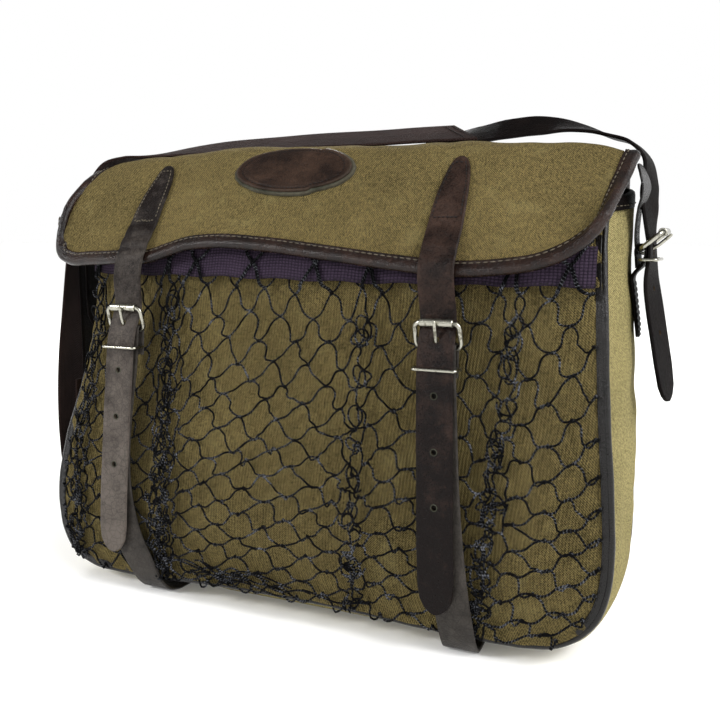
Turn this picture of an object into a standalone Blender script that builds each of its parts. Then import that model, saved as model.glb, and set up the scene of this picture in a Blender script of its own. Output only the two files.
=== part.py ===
"""A canvas game bag with leather trim, a knotted net pocket and a shoulder strap, standing on the floor.

Lengths below are millimetres. +X is the bag's right as seen from the front, -Y its front and +Z up.
The origin is on the floor in the middle of the canvas underside.
"""

import math

import bpy
import numpy as np

MM = 0.001
GAP = 0.3

# The line where front panel and gusset meet, from the top left round the bottom to the top right.
FRONT_SEAM = [
    # x, y, z
    (-200, -12, 298),
    (-199, -13, 270),
    (-200, -16, 235),
    (-203, -20, 200),
    (-208, -31, 155),
    (-215, -43, 110),
    (-219, -47, 80),
    (-219, -48, 55),
    (-214, -49, 36),
    (-203, -50, 21),
    (-185, -51, 13),
    (-160, -52, 11),
    (-120, -53, 12),
    (-80, -54, 15),
    (-20, -55, 17),
    (38, -55, 17),
    (96, -54, 14.5),
    (140, -53.5, 13.5),
    (172, -53, 14.5),
    (190, -53, 18),
    (205, -53, 27),
    (215, -54, 40),
    (221, -55, 58),
    (223, -55, 82),
    (222, -54, 115),
    (218, -48, 165),
    (214, -38, 230),
    (211, -27, 272),
    (210, -12, 298),
]

# The same line at the back.
BACK_SEAM = [
    # x, y, z
    (-212, 46, 306),
    (-214, 49, 270),
    (-215, 51, 235),
    (-216, 52, 200),
    (-217, 54, 155),
    (-218, 55, 110),
    (-218, 56, 80),
    (-217, 56, 55),
    (-213, 56, 36),
    (-203, 56, 22),
    (-185, 56, 15),
    (-160, 56, 14),
    (-120, 56, 14),
    (-80, 57, 15),
    (-20, 57, 15),
    (38, 57, 15),
    (96, 57, 14),
    (140, 57, 14),
    (172, 56, 14),
    (190, 56, 17),
    (203, 56, 25),
    (212, 56, 38),
    (217, 56, 56),
    (218, 56, 80),
    (218, 55, 115),
    (217, 54, 165),
    (215, 51, 230),
    (214, 48, 275),
    (213, 46, 306),
]

# Height of the front panel's middle line against how far forward it stands.
FRONT_MIDDLE = [
    # z, y
    (0, -56),
    (20, -58),
    (60, -61.5),
    (120, -60.5),
    (180, -54.5),
    (210, -51),
    (235, -49.5),
    (262, -44.5),
    (286, -31.5),
    (303, -14),
    (312, -4),
]

# The flap's lower edge, from the left corner to the right corner.
FLAP_EDGE = [
    # x, y, z
    (-217, -42, 286),
    (-218, -46, 271),
    (-214, -49, 260),
    (-203, -51, 255),
    (-180, -54, 255),
    (-145, -58, 256.5),
    (-119, -59, 257.5),
    (-103, -59, 262),
    (-85, -59, 267),
    (-64, -60, 269),
    (-20, -60, 267),
    (34, -61, 261),
    (86, -62, 255),
    (122, -62, 252),
    (152, -61, 253.5),
    (180, -58, 258.5),
    (197, -54, 267),
    (208, -51, 277),
    (215, -47, 288),
]

# Height of the flap's top line, where it turns from the back to the front.
FLAP_TOP = [
    # x, z
    (-218, 328),
    (-202, 334.5),
    (-179, 338),
    (-140, 340),
    (-63, 342.5),
    (0, 342),
    (121, 339),
    (192, 335.5),
    (205, 333),
    (215, 330),
    (224, 327.5),
]

# The flap's way down the front, as shares of the run from the top line to the lower edge.
FLAP_FALL = [
    # middle y, middle z, left y, left z, right y, right z
    (0.00, 0.00, 0.00, 0.00, 0.00, 0.00),
    (0.17, 0.04, 0.14, 0.04, 0.10, 0.09),
    (0.32, 0.14, 0.30, 0.13, 0.22, 0.24),
    (0.44, 0.27, 0.48, 0.26, 0.38, 0.41),
    (0.58, 0.42, 0.66, 0.42, 0.56, 0.58),
    (0.74, 0.61, 0.83, 0.62, 0.72, 0.73),
    (0.88, 0.81, 0.94, 0.82, 0.87, 0.87),
    (1.00, 1.00, 1.00, 1.00, 1.00, 1.00),
]

# The flap's way down the back: how far back it stands and how far it has dropped from the top line.
FLAP_BACK = [
    # y, share of the drop to the sewn edge, how far the side edge draws in
    (56.0, 1.00, 13),
    (54.5, 0.72, 13),
    (49.0, 0.38, 12),
    (37.0, 0.13, 10),
    (23.0, 0.03, 5),
]
FLAP_SEWN_Z = 292.0
FLAP_TOP_Y = 10.0

# How far each side of the gusset swells out between its seams.
GUSSET_LOBE = [
    # z, left, right
    (20, 3.0, 4.0),
    (42, 4.0, 5.0),
    (109, 5.0, 6.0),
    (171, 6.0, 9.0),
    (214, 6.0, 9.5),
    (239, 6.0, 7.0),
    (271, 6.0, 8.5),
    (306, 6.0, 9.0),
]

# Half the thickness of each sheet.
CANVAS = 1.0
GUSSET_FLAT_X = 66.0
FLAP_HALF = 1.1
STRAP_HALF = 1.25
WEB_HALF = 1.2


# What each piece is made of, by the start of its name.
LOOKS = [
    # start of the name, red, green, blue, roughness, metallic
    ("front_panel", 0.19, 0.145, 0.052, 0.92, 0.0),
    ("back_panel", 0.19, 0.145, 0.052, 0.92, 0.0),
    ("flap_binding", 0.028, 0.020, 0.018, 0.45, 0.0),
    ("flap", 0.20, 0.155, 0.060, 0.92, 0.0),
    ("gusset_trim", 0.032, 0.022, 0.019, 0.45, 0.0),
    ("gusset", 0.30, 0.24, 0.10, 0.90, 0.0),
    ("net_band", 0.075, 0.045, 0.085, 0.85, 0.0),
    ("net", 0.015, 0.015, 0.017, 0.80, 0.0),
    ("patch_backing", 0.050, 0.048, 0.036, 0.75, 0.0),
    ("shoulder_webbing", 0.022, 0.015, 0.014, 0.85, 0.0),
    ("buckle", 0.50, 0.47, 0.38, 0.28, 1.0),
    ("keeper", 0.50, 0.47, 0.38, 0.28, 1.0),
    ("", 0.042, 0.030, 0.026, 0.50, 0.0),
]


def array(rows):
    return np.array(rows, float)


def unit(v):
    v = np.asarray(v, float)
    length = np.linalg.norm(v, axis=-1, keepdims=True)
    return v / np.where(length < 1e-12, 1.0, length)


def table(rows, at, column=1):
    """One column of a table, interpolated at values of its first column."""
    rows = array(rows)
    return np.interp(at, rows[:, 0], rows[:, column])


def smooth(rows, count=None, step=None, columns=3):
    """A smooth curve through the rows, evenly spaced along its first three columns."""
    rows = array(rows)
    knots = np.concatenate([[0], np.cumsum(np.linalg.norm(np.diff(rows[:, :columns], axis=0), axis=1))])
    slope = np.gradient(rows, knots, axis=0)
    fine = np.linspace(0, knots[-1], 40 * len(rows))
    i = np.clip(np.searchsorted(knots, fine, side="right") - 1, 0, len(rows) - 2)
    width = (knots[i + 1] - knots[i])[:, None]
    t = ((fine - knots[i])[:, None]) / width
    h00 = 2 * t**3 - 3 * t**2 + 1
    h10 = t**3 - 2 * t**2 + t
    h01 = -2 * t**3 + 3 * t**2
    h11 = t**3 - t**2
    dense = h00 * rows[i] + h10 * width * slope[i] + h01 * rows[i + 1] + h11 * width * slope[i + 1]
    run = np.concatenate([[0], np.cumsum(np.linalg.norm(np.diff(dense[:, :columns], axis=0), axis=1))])
    if count is None:
        count = max(2, round(run[-1] / step) + 1)
    at = np.linspace(0, run[-1], count)
    return np.stack([np.interp(at, run, dense[:, k]) for k in range(rows.shape[1])], axis=1)


def finish(made):
    """Links an object, hangs it on the bag's empty and gives it its own material."""
    row = next(row for row in LOOKS if made.name.startswith(row[0]))
    material = bpy.data.materials.new(f"{made.name}_material")
    material.use_nodes = True
    shader = material.node_tree.nodes["Principled BSDF"]
    shader.inputs["Base Color"].default_value = (*row[1:4], 1.0)
    shader.inputs["Roughness"].default_value = row[4]
    shader.inputs["Metallic"].default_value = row[5]
    made.data.materials.append(material)
    bpy.context.scene.collection.objects.link(made)
    made.parent = bpy.data.objects["bag"]
    bpy.context.view_layer.update()
    return made


def solid(name, points, faces, closed=True):
    """A mesh object from points in millimetres, facing outwards, with its origin at its own middle."""
    points = np.asarray(points, float) * MM
    middle = np.round((points.min(axis=0) + points.max(axis=0)) / 2, 4)
    points = points - middle
    volume = 0.0
    for face in faces:
        for k in range(1, len(face) - 1):
            a, b, c = points[face[0]], points[face[k]], points[face[k + 1]]
            volume += np.dot(a, np.cross(b, c))
    if closed and volume < 0:
        faces = [tuple(reversed(face)) for face in faces]
    mesh = bpy.data.meshes.new(name)
    mesh.from_pydata(points.tolist(), [], [tuple(int(i) for i in face) for face in faces])
    mesh.update()
    made = bpy.data.objects.new(name, mesh)
    made.location = middle
    return finish(made)


def grid_normals(grid):
    """The upward normal at each point of a grid of points."""
    along = np.gradient(grid, axis=0)
    across = np.gradient(grid, axis=1)
    return unit(np.cross(along, across))


def sheet(name, grid, half):
    """A sheet of even thickness whose middle surface is the grid."""
    n, m = grid.shape[:2]
    faces = []
    for i in range(n - 1):
        for j in range(m - 1):
            a, b, c, d = i * m + j, i * m + j + 1, (i + 1) * m + j + 1, (i + 1) * m + j
            faces += [(a, b, c), (a, c, d)]
    made = solid(name, grid.reshape(-1, 3), faces, closed=False)
    thick = made.modifiers.new("Thickness", "SOLIDIFY")
    thick.thickness = 2 * half * MM
    thick.offset = 0.0
    return made


def layers(name, top, bottom):
    """The solid between two grids of points."""
    n, m = top.shape[:2]
    points = np.concatenate([top.reshape(-1, 3), bottom.reshape(-1, 3)])
    low = n * m
    faces = []
    for i in range(n - 1):
        for j in range(m - 1):
            a, b, c, d = i * m + j, i * m + j + 1, (i + 1) * m + j + 1, (i + 1) * m + j
            faces += [(a, b, c), (a, c, d), (low + a, low + c, low + b), (low + a, low + d, low + c)]
    rim = [(0, j) for j in range(m)] + [(i, m - 1) for i in range(1, n)]
    rim += [(n - 1, j) for j in range(m - 2, -1, -1)] + [(i, 0) for i in range(n - 2, 0, -1)]
    ids = [i * m + j for i, j in rim]
    for a, b in zip(ids, ids[1:] + ids[:1]):
        faces += [(a, low + b, b), (a, low + a, low + b)]
    return solid(name, points, faces)


def sweep(name, sections, closed=False):
    """The solid through a row of sections, each a ring of the same number of points."""
    sections = np.asarray(sections, float)
    k, s = sections.shape[:2]
    faces = []
    for i in range(k if closed else k - 1):
        for j in range(s):
            a, b = i * s + j, i * s + (j + 1) % s
            c, d = ((i + 1) % k) * s + (j + 1) % s, ((i + 1) % k) * s + j
            faces += [(a, b, c), (a, c, d)]
    if not closed:
        faces += [tuple(range(s))[::-1], tuple((k - 1) * s + j for j in range(s))]
    return solid(name, sections.reshape(-1, 3), faces)


def rod(name, path, radius, resolution=1, closed=False):
    """A round rod along a path: a poly curve with a bevel and filled ends."""
    path = array(path) * MM
    middle = np.round((path.min(axis=0) + path.max(axis=0)) / 2, 4)
    curve = bpy.data.curves.new(name, "CURVE")
    curve.dimensions = "3D"
    curve.bevel_depth = float(np.max(radius)) * MM
    curve.bevel_resolution = resolution
    curve.use_fill_caps = not closed
    spline = curve.splines.new("POLY")
    spline.points.add(len(path) - 1)
    spline.use_cyclic_u = closed
    radius = np.broadcast_to(np.asarray(radius, float), len(path)) / float(np.max(radius))
    for point, p, r in zip(spline.points, path - middle, radius):
        point.co = (*p, 1.0)
        point.radius = float(r)
    made = bpy.data.objects.new(name, curve)
    made.location = middle
    return finish(made)


def strip(name, path, width_dir, width, half):
    """A flat strap along a path; width_dir and width may change along it."""
    path = array(path)
    tangent = unit(np.gradient(path, axis=0))
    across = np.broadcast_to(array(width_dir), path.shape)
    across = unit(across - tangent * np.sum(across * tangent, axis=1, keepdims=True))
    normal = np.cross(tangent, across)
    half_width = np.broadcast_to(width, len(path))[:, None] / 2
    half = np.broadcast_to(half, len(path))[:, None]
    a, b = across * half_width, normal * half
    sections = np.stack([path + a + b, path - a + b, path - a - b, path + a - b], axis=1)
    return sweep(name, sections)


def punch(target, centres, axis, radius=2.2, long=14.0, sides=6):
    """Cuts round holes through a strap."""
    axis = unit(axis)
    side = unit(np.cross(axis, (0, 0, 1) if abs(axis[2]) < 0.9 else (1, 0, 0)))
    other = np.cross(axis, side)
    for k, centre in enumerate(centres):
        ring = []
        for s in range(sides):
            turn = 2 * math.pi * s / sides
            ring.append(radius * (math.cos(turn) * side + math.sin(turn) * other))
        low = [array(centre) - axis * long / 2 + r for r in ring]
        high = [array(centre) + axis * long / 2 + r for r in ring]
        cutter = sweep(f"{target.name}_punch_{k}", [low, high])
        cut(target, cutter)


def cut(target, cutter):
    cutter.hide_render = True
    cutter.display_type = "WIRE"
    step = target.modifiers.new(cutter.name, "BOOLEAN")
    step.operation = "DIFFERENCE"
    step.solver = "EXACT"
    step.object = cutter
    bpy.context.view_layer.objects.active = target
    bpy.ops.object.modifier_apply(modifier=step.name)
    bpy.data.objects.remove(cutter, do_unlink=True)


def inset(seam, by):
    """The seam line moved inwards in the plane of the panel."""
    seam = array(seam)
    along = np.gradient(seam, axis=0)
    inward = unit(np.stack([-along[:, 2], np.zeros(len(seam)), along[:, 0]], axis=1))
    return seam + inward * by


def front_y(x, z):
    """How far forward the front panel's middle surface stands."""
    left = [(p[2], p[1]) for p in FRONT_SEAM[:9]][::-1] + [(312, -3)]
    right = [(p[2], p[1]) for p in FRONT_SEAM[21:]] + [(312, -2)]
    middle = table(FRONT_MIDDLE, z)
    share = np.clip(np.abs(x) / 216.0, 0, 1) ** 2.6
    edge = np.where(np.asarray(x) < 0, table(left, z), table(right, z))
    return middle + (edge - middle) * share


def back_y(x, z):
    """How far back the back panel's middle surface stands."""
    middle = np.interp(z, [0, 40, 150, 240, 306, 316], [57, 59.5, 58.5, 54, 46.0, 44.0])
    edge = np.interp(z, [0, 80, 155, 235, 306, 316], [56, 56, 54, 51, 45, 43.5])
    share = np.clip(np.abs(x) / 216.0, 0, 1) ** 3
    return middle + (edge - middle) * share


def patch_plan(seam, columns, rows, top, low=0.0, high=1.0):
    """A grid of (x, z) inside a U-shaped seam, closed at the top by a straight line at height top."""
    seam = array(seam)
    half = len(seam) // 2
    corners = [
        int(np.argmin(seam[:half, 0] + seam[:half, 2])),
        half + int(np.argmin(-seam[half:, 0] + seam[half:, 2])),
    ]
    left = smooth(seam[: corners[0] + 1][::-1], rows * 6 + 1)
    bottom = smooth(seam[corners[0] : corners[1] + 1], columns * 6 + 1)
    right = smooth(seam[corners[1] :], rows * 6 + 1)
    left[-1, 2] = right[-1, 2] = top
    s = np.linspace(0, 1, columns + 1)
    t = low + (high - low) * np.linspace(0, 1, rows + 1)

    def along(curve, at):
        u = np.linspace(0, 1, len(curve))
        return np.stack([np.interp(at, u, curve[:, k]) for k in (0, 2)], axis=-1)

    b = along(bottom, s)[None]
    upper = (along(left, [1.0]) * (1 - s[:, None]) + along(right, [1.0]) * s[:, None])[None]
    sides = along(left, t)[:, None] * (1 - s[None, :, None]) + along(right, t)[:, None] * s[None, :, None]
    tt = t[:, None, None]
    ss = s[None, :, None]
    flat = (1 - tt) * ((1 - ss) * b[:, :1] + ss * b[:, -1:]) + tt * ((1 - ss) * upper[:, :1] + ss * upper[:, -1:])
    return (1 - tt) * b + tt * upper + sides - flat


def build_panels():
    plan = patch_plan(inset(FRONT_SEAM, 4.0), 13, 7, 309)
    grid = np.stack([plan[..., 0], front_y(plan[..., 0], plan[..., 1]), plan[..., 1]], axis=-1)
    sheet("front_panel", grid, CANVAS)
    plan = patch_plan(inset(BACK_SEAM, 6.6), 11, 6, 310.5)
    grid = np.stack([plan[..., 0], back_y(plan[..., 0], plan[..., 1]), plan[..., 1]], axis=-1)
    sheet("back_panel", grid, CANVAS)


def seam_pair(count):
    """Front and back seam lines with matching points."""
    front, back = array(FRONT_SEAM), array(BACK_SEAM)
    both = smooth(np.concatenate([front, back], axis=1), count)
    return both[:, :3], both[:, 3:]


def floor_line(x):
    """Height of the gusset's middle surface above the floor, lifted where the lower straps pass under it."""
    return np.interp(abs(x), [0, GUSSET_FLAT_X, 84, 160, 185], [CANVAS, CANVAS, 4.5, 4.6, 6.0])


def gusset_grid(count=34, across=6):
    front, back = seam_pair(count)
    along = np.gradient((front + back) / 2, axis=0)
    out = unit(np.stack([along[:, 2], np.zeros(count), -along[:, 0]], axis=1))
    grid = np.zeros((count, across + 1, 3))
    for k in range(count):
        down = max(0.0, -out[k, 2]) ** 3
        a = front[k] + (0, 3.4, 0) - out[k] * 0.8
        b = back[k] - (0, 3.4, 0) - out[k] * 0.8
        seam_height = (a[2] + b[2]) / 2
        for j in range(across + 1):
            v = j / across
            v = v + 0.06 * math.sin(2 * math.pi * v) * (1 - down) - 0.05 * math.sin(2 * math.pi * v) * down
            flat = a * (1 - v) + b * v
            side = 1 - abs(2 * v - 1) ** 2.2
            sag = min(1.0, 1.14 * (1 - abs(2 * v - 1) ** 3.2))
            lobe = table(GUSSET_LOBE, seam_height, 2 if out[k, 0] > 0 else 1)
            bulge = (1 - down) * lobe * side
            flat = flat + out[k] * bulge
            flat[2] -= down * sag * (seam_height - floor_line(flat[0]))
            grid[k, j] = flat
    return grid


def build_gusset():
    grid = gusset_grid()
    normal = grid_normals(grid)
    if normal[len(grid) // 2, 3, 2] > 0:
        normal = -normal
    outer, inner = grid + normal * CANVAS, grid - normal * CANVAS
    outer[..., 2] = np.where(outer[..., 2] < 0.6, 0.0, outer[..., 2])
    layers("gusset", outer, inner)
    for name, rim, inner in (
        ("gusset_trim_left", grid[0], grid[1]),
        ("gusset_trim_right", grid[-1], grid[-2]),
    ):
        rim, inner = rim.copy(), inner.copy()
        for end, beside in ((0, 1), (-1, -2)):
            rim[end] += (rim[beside] - rim[end]) * 0.12
            inner[end] += (inner[beside] - inner[end]) * 0.12
        down = unit(inner - rim)
        along = np.gradient(rim, axis=0)
        normal = unit(np.cross(along, down))
        sections = []
        for p, d, n in zip(rim, down, normal):
            profile = [(9, 1.5), (9, 2.7), (-1.2, 2.7), (-2.3, 0), (-1.2, -2.7), (9, -2.7), (9, -1.5), (-0.6, -1.5), (-0.6, 1.5)]
            sections.append([p + d * a + n * b for a, b in profile])
        sweep(name, sections)


def build_piping():
    for name, seam, count in (("front_piping", FRONT_SEAM, 36), ("back_piping", BACK_SEAM, 30)):
        rod(name, smooth(seam, count), 2.3)


def flap_profile(u):
    """The flap's middle line at a share u of the way along its lower edge, from the sewn back edge down to the front."""
    edge = smooth(FLAP_EDGE, 121)
    run = np.linspace(0, 1, len(edge))
    e = array([np.interp(u, run, edge[:, k]) for k in range(3)])
    ends = [float(np.interp(x, edge[20:105, 0], run[20:105])) for x in (-165, 160)]
    x_top = float(np.interp(u, [0, ends[0], ends[1], 1], [-217, -165, 160, 224]))
    if ends[0] < u < ends[1]:
        x_top = float(e[0])
    z_top = float(table(FLAP_TOP, x_top))
    fall = array(FLAP_FALL)
    left = np.clip((-x_top - 150) / 60, 0, 1)
    right = np.clip((x_top - 150) / 60, 0, 1)
    gy = fall[:, 0] * (1 - left - right) + fall[:, 2] * left + fall[:, 4] * right
    gz = fall[:, 1] * (1 - left - right) + fall[:, 3] * left + fall[:, 5] * right
    rows = []
    narrow = np.interp(x_top, [-217, -180, 180, 224], [-1, 0, 0, 1])
    for y, share, draw in FLAP_BACK:
        rows.append((x_top - narrow * draw, y, z_top - (z_top - FLAP_SEWN_Z) * share))
    for a, b in zip(gy, gz):
        rows.append((x_top + (e[0] - x_top) * a, FLAP_TOP_Y + (e[1] - FLAP_TOP_Y) * a, z_top + (e[2] - z_top) * b))
    return array(rows)


def flap_grid(columns=16):
    """Points of the flap, one row of the grid for each column of cloth."""
    u = np.linspace(0, 1, columns + 1)
    return np.stack([flap_profile(k) for k in u])


def share_at(x):
    """The share of the way along the flap's lower edge at which x is reached."""
    edge = smooth(FLAP_EDGE, 121)
    inner = slice(12, 108)
    return float(np.interp(x, edge[inner, 0], np.linspace(0, 1, len(edge))[inner]))


class FlapSurface:
    """Points on the flap by x and by the distance down the front from its top line."""

    def __init__(self):
        self.u = np.linspace(0, 1, 73)
        self.rows = []
        for u in self.u:
            fall = flap_profile(u)[len(FLAP_BACK) - 2 :]
            self.rows.append(smooth(fall, 61))

    def at(self, x, down):
        """The point and the outward normal there."""
        u = share_at(x)

        def point(u, down):
            k = np.clip(u * 72, 0, 71.999)
            i, f = int(k), k - int(k)
            row = self.rows[i] * (1 - f) + self.rows[i + 1] * f
            run = np.concatenate([[0], np.cumsum(np.linalg.norm(np.diff(row, axis=0), axis=1))])
            start = run[np.argmin(abs(row[:, 1] - FLAP_TOP_Y))]
            at = start + down
            over = max(0.0, at - run[-1])
            p = array([np.interp(at, run, row[:, k]) for k in range(3)])
            if over:
                p = p + unit(row[-1] - row[-3]) * over
            return p

        p = point(u, down)
        along = point(min(1, u + 0.01), down) - point(max(0, u - 0.01), down)
        fall = point(u, down + 1.5) - point(u, down - 1.5)
        return p, unit(np.cross(fall, along)) * 1.0

    def length(self, x):
        u = share_at(x)
        k = np.clip(u * 72, 0, 71.999)
        i, f = int(k), k - int(k)
        row = self.rows[i] * (1 - f) + self.rows[i + 1] * f
        run = np.concatenate([[0], np.cumsum(np.linalg.norm(np.diff(row, axis=0), axis=1))])
        return run[-1] - run[np.argmin(abs(row[:, 1] - FLAP_TOP_Y))]


def outward(normal, point):
    """The normal turned so that it points away from the inside of the bag."""
    away = array(point) - (0, 20, 240)
    return normal if np.dot(normal, away) > 0 else -normal


def build_flap():
    grid = flap_grid()
    sheet("flap", grid, FLAP_HALF)
    columns, rows = grid.shape[:2]
    normal = grid_normals(grid)
    if np.dot(normal[columns // 2, rows - 3], (0, -1, 1)) < 0:
        normal = -normal
    edge = [(0, j) for j in range(rows)] + [(i, rows - 1) for i in range(1, columns)]
    edge += [(columns - 1, j) for j in range(rows - 2, -1, -1)]
    points = array([grid[i, j] for i, j in edge])
    normals = array([normal[i, j] for i, j in edge])
    inner = [(min(max(i, 1), columns - 2), min(j, rows - 2)) for i, j in edge]
    for k, (i, j) in enumerate(edge):
        if 0 < i < columns - 1:
            inner[k] = (i, rows - 2)
        elif j < rows - 1:
            inner[k] = (inner[k][0], j)
    inward = unit(array([grid[i, j] for i, j in inner]) - points)
    up = unit(normals - inward * np.sum(normals * inward, axis=1, keepdims=True))
    profile = [(6.8, 2.7), (6.8, 3.8), (-1.2, 3.8), (-3.0, 1.4), (-3.0, -1.4), (-1.2, -3.8), (6.8, -3.8), (6.8, -2.7)]
    profile += [(-1.6, -2.5), (-1.6, 2.5)]
    sections = []
    for p, w, n in zip(points, inward, up):
        sections.append([p + w * a + n * b for a, b in profile])
    return grid, sections


def net_y(x, z):
    """How far forward the net stands: clear of the panel in the middle, close to it where it is sewn in."""
    share = np.clip(np.abs(x) / 205.0, 0, 1) ** 4
    z = np.asarray(z, float)
    foot = np.clip((50 - z) / 28, 0, 1)
    head = np.clip((z - 225) / 30, 0, 1)
    return front_y(x, z) - 7.2 + 3.2 * np.maximum(np.maximum(share, foot), 0.9 * head)


def build_net():
    """Diamond meshes cut through a thin sheet, with the cords between them."""
    seam = inset(FRONT_SEAM, 6.0)
    cells_x, cells_z = 9, 5
    fine = patch_plan(seam, 40, 20, 309, 0.0, 1.0)
    top = 0.80

    def place(a, b):
        """The point of the plan at lattice position (a, b)."""
        s, t = a / (2 * cells_x) * 40, b / (2 * cells_z) * top * 20
        i, j = min(int(t), 19), min(int(s), 39)
        f, g = t - i, s - j
        p = fine[i, j] * (1 - f) * (1 - g) + fine[i + 1, j] * f * (1 - g)
        return p + fine[i, j + 1] * (1 - f) * g + fine[i + 1, j + 1] * f * g

    cells = []
    wide, high = 2 * cells_x, 2 * cells_z
    for a in range(0, wide + 1):
        for b in range(0, high + 1):
            if (a + b) % 2:
                ring = [(a + 1, b), (a, b + 1), (a - 1, b), (a, b - 1)]
                ring = [(p, q) for p, q in ring if 0 <= p <= wide and 0 <= q <= high]
                if len(ring) == 3 or len(ring) == 4:
                    cells.append(ring)
    index, plan, rings = {}, [], []
    for cell in cells:
        for key in cell:
            if key not in index:
                index[key] = len(plan)
                plan.append(place(*key))
    for cell in cells:
        corner = array([plan[index[key]] for key in cell])
        turn = np.sum(np.cross(corner, np.roll(corner, -1, axis=0)))
        if turn < 0:
            corner, cell = corner[::-1], cell[::-1]
        inner = []
        count = len(corner)
        for k in range(count):
            before, here, after = corner[k - 1], corner[k], corner[(k + 1) % count]
            d1, d2 = unit(here - before), unit(after - here)
            n1, n2 = array([-d1[1], d1[0]]), array([-d2[1], d2[0]])
            w1 = w2 = 1.35
            bend = np.array([n1, n2])
            inner.append(here + np.linalg.solve(bend, [w1, w2]))
        start = len(plan)
        plan += inner
        rings.append(([index[key] for key in cell], list(range(start, start + count))))
    plan = array(plan)
    x, z = plan[:, 0], plan[:, 1]
    y = net_y(x, z)
    lift = 0.9
    points = np.concatenate([np.stack([x, y - lift, z], axis=1), np.stack([x, y + lift, z], axis=1)])
    low = len(plan)
    faces, edges = [], {}
    for outer, inner in rings:
        count = len(outer)
        for k in range(count):
            a, b = outer[k], outer[(k + 1) % count]
            c, d = inner[(k + 1) % count], inner[k]
            faces += [(a, b, c), (a, c, d), (low + a, low + c, low + b), (low + a, low + d, low + c)]
            faces += [(d, c, low + c), (d, low + c, low + d)]
            edges[(a, b)] = edges.get((a, b), 0) + 1
    for a, b in edges:
        if (b, a) not in edges:
            faces += [(b, a, low + a), (b, low + a, low + b)]
    solid("net", points, faces)


def build_band():
    x = np.linspace(-196, 205, 19)
    rows = []
    for z in (243.5, 256, 268.5):
        drop = np.interp(x, [-196, -60, 60, 205], [1.5, 2.0, 0.0, 0.0])
        rows.append(np.stack([x, net_y(x, z) - 2.6, z + drop], axis=1))
    sheet("net_band", np.stack(rows, axis=1), 1.1)


def on_flap(surface, x, down, lift):
    p, n = surface.at(x, down)
    return p + outward(n, p) * lift


UPPER_STRAPS = {
    # the flap's column at the strap's top and at the flap's edge, then the way down the front
    "right": {
        "flap": (113, 113),
        "fall": [
            (113.6, -67.6, 241),
            (114.0, -65.0, 229),
            (114.3, -64.6, 220),
            (114.5, -67.4, 212),
            (114.6, -70.7, 204),
            (114.7, -72.4, 195),
            (114.8, -73.0, 184),
            (115.0, -73.6, 165),
            (115.5, -74.3, 120),
            (116.0, -74.4, 75),
            (116.5, -73.0, 32),
        ],
    },
    "left": {
        "flap": (-131, -132),
        "fall": [
            (-133.6, -66.4, 242),
            (-134.6, -64.0, 230),
            (-135.0, -63.6, 221),
            (-135.4, -66.4, 213),
            (-135.8, -69.7, 205),
            (-136.2, -71.4, 196),
            (-136.8, -72.0, 185),
            (-138.2, -72.3, 165),
            (-142.2, -71.8, 120),
            (-145.4, -71.4, 75),
            (-148.0, -70.2, 33),
        ],
    },
}


def build_upper_straps(surface):
    for side, rows in UPPER_STRAPS.items():
        x0, x1 = rows["flap"]
        long = surface.length(x0)
        path = []
        for share, lift in ((0.24, 3.3), (0.36, 3.3), (0.5, 3.3), (0.62, 3.3), (0.74, 3.6), (0.83, 5.2), (0.91, 6.1), (1.0, 6.4)):
            path.append(on_flap(surface, x0 + (x1 - x0) * share, long * share, lift))
        path += [array(p) for p in rows["fall"]]
        path = smooth(path, 33)
        run = np.concatenate([[0], np.cumsum(np.linalg.norm(np.diff(path, axis=0), axis=1))])
        end = run[-1]
        width = np.interp(run, [0, 3, 46, 66, end - 22, end - 10, end - 3, end], [8, 11, 20.5, 25, 25, 22, 14, 7])
        made = strip(f"upper_strap_{side}", path, (1, 0, 0), width, STRAP_HALF)
        holes = [path[np.argmin(abs(path[:, 2] - z))] * (1, 1, 0) + (0, 0, z) for z in (174, 138, 102)]
        punch(made, holes, (0, 1, 0))
        hole = path[np.argmin(abs(path[:, 2] - 209))]
        slot = [hole + (sx, sy, 0) for sx, sy in ((-1.7, -6), (1.7, -6), (1.7, 6), (-1.7, 6))]
        cut(made, sweep("slot", [[p - (0, 0, 6.5) for p in slot], [p + (0, 0, 6.5) for p in slot]]))


LOWER_STRAPS = {
    # the heel bar, then down the front and under the bag
    "right": [
        (114.6, -64.2, 203.2),
        (114.7, -67.6, 198),
        (115, -67.5, 182),
        (116.5, -68.8, 150),
        (118.5, -70.0, 110),
        (121, -70.6, 80),
        (125, -69.0, 42),
        (127, -65.0, 22),
        (127.3, -60.0, 11),
        (127, -53.5, 4),
        (126, -45, 1.5),
        (124, -20, 1.5),
        (122, 0, 1.5),
        (121, 24, 1.5),
    ],
    "left": [
        (-136.0, -63.2, 204.2),
        (-136.2, -66.6, 199),
        (-137.4, -66.5, 182),
        (-141.5, -66.9, 150),
        (-145, -67.2, 115),
        (-144, -67.4, 80),
        (-134, -66.5, 42),
        (-124, -64.0, 22),
        (-121, -59.5, 11),
        (-119.5, -52.5, 4),
        (-118, -43, 1.5),
        (-117, -20, 1.5),
        (-117, 0, 1.5),
        (-117, 24, 1.5),
    ],
}


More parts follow.
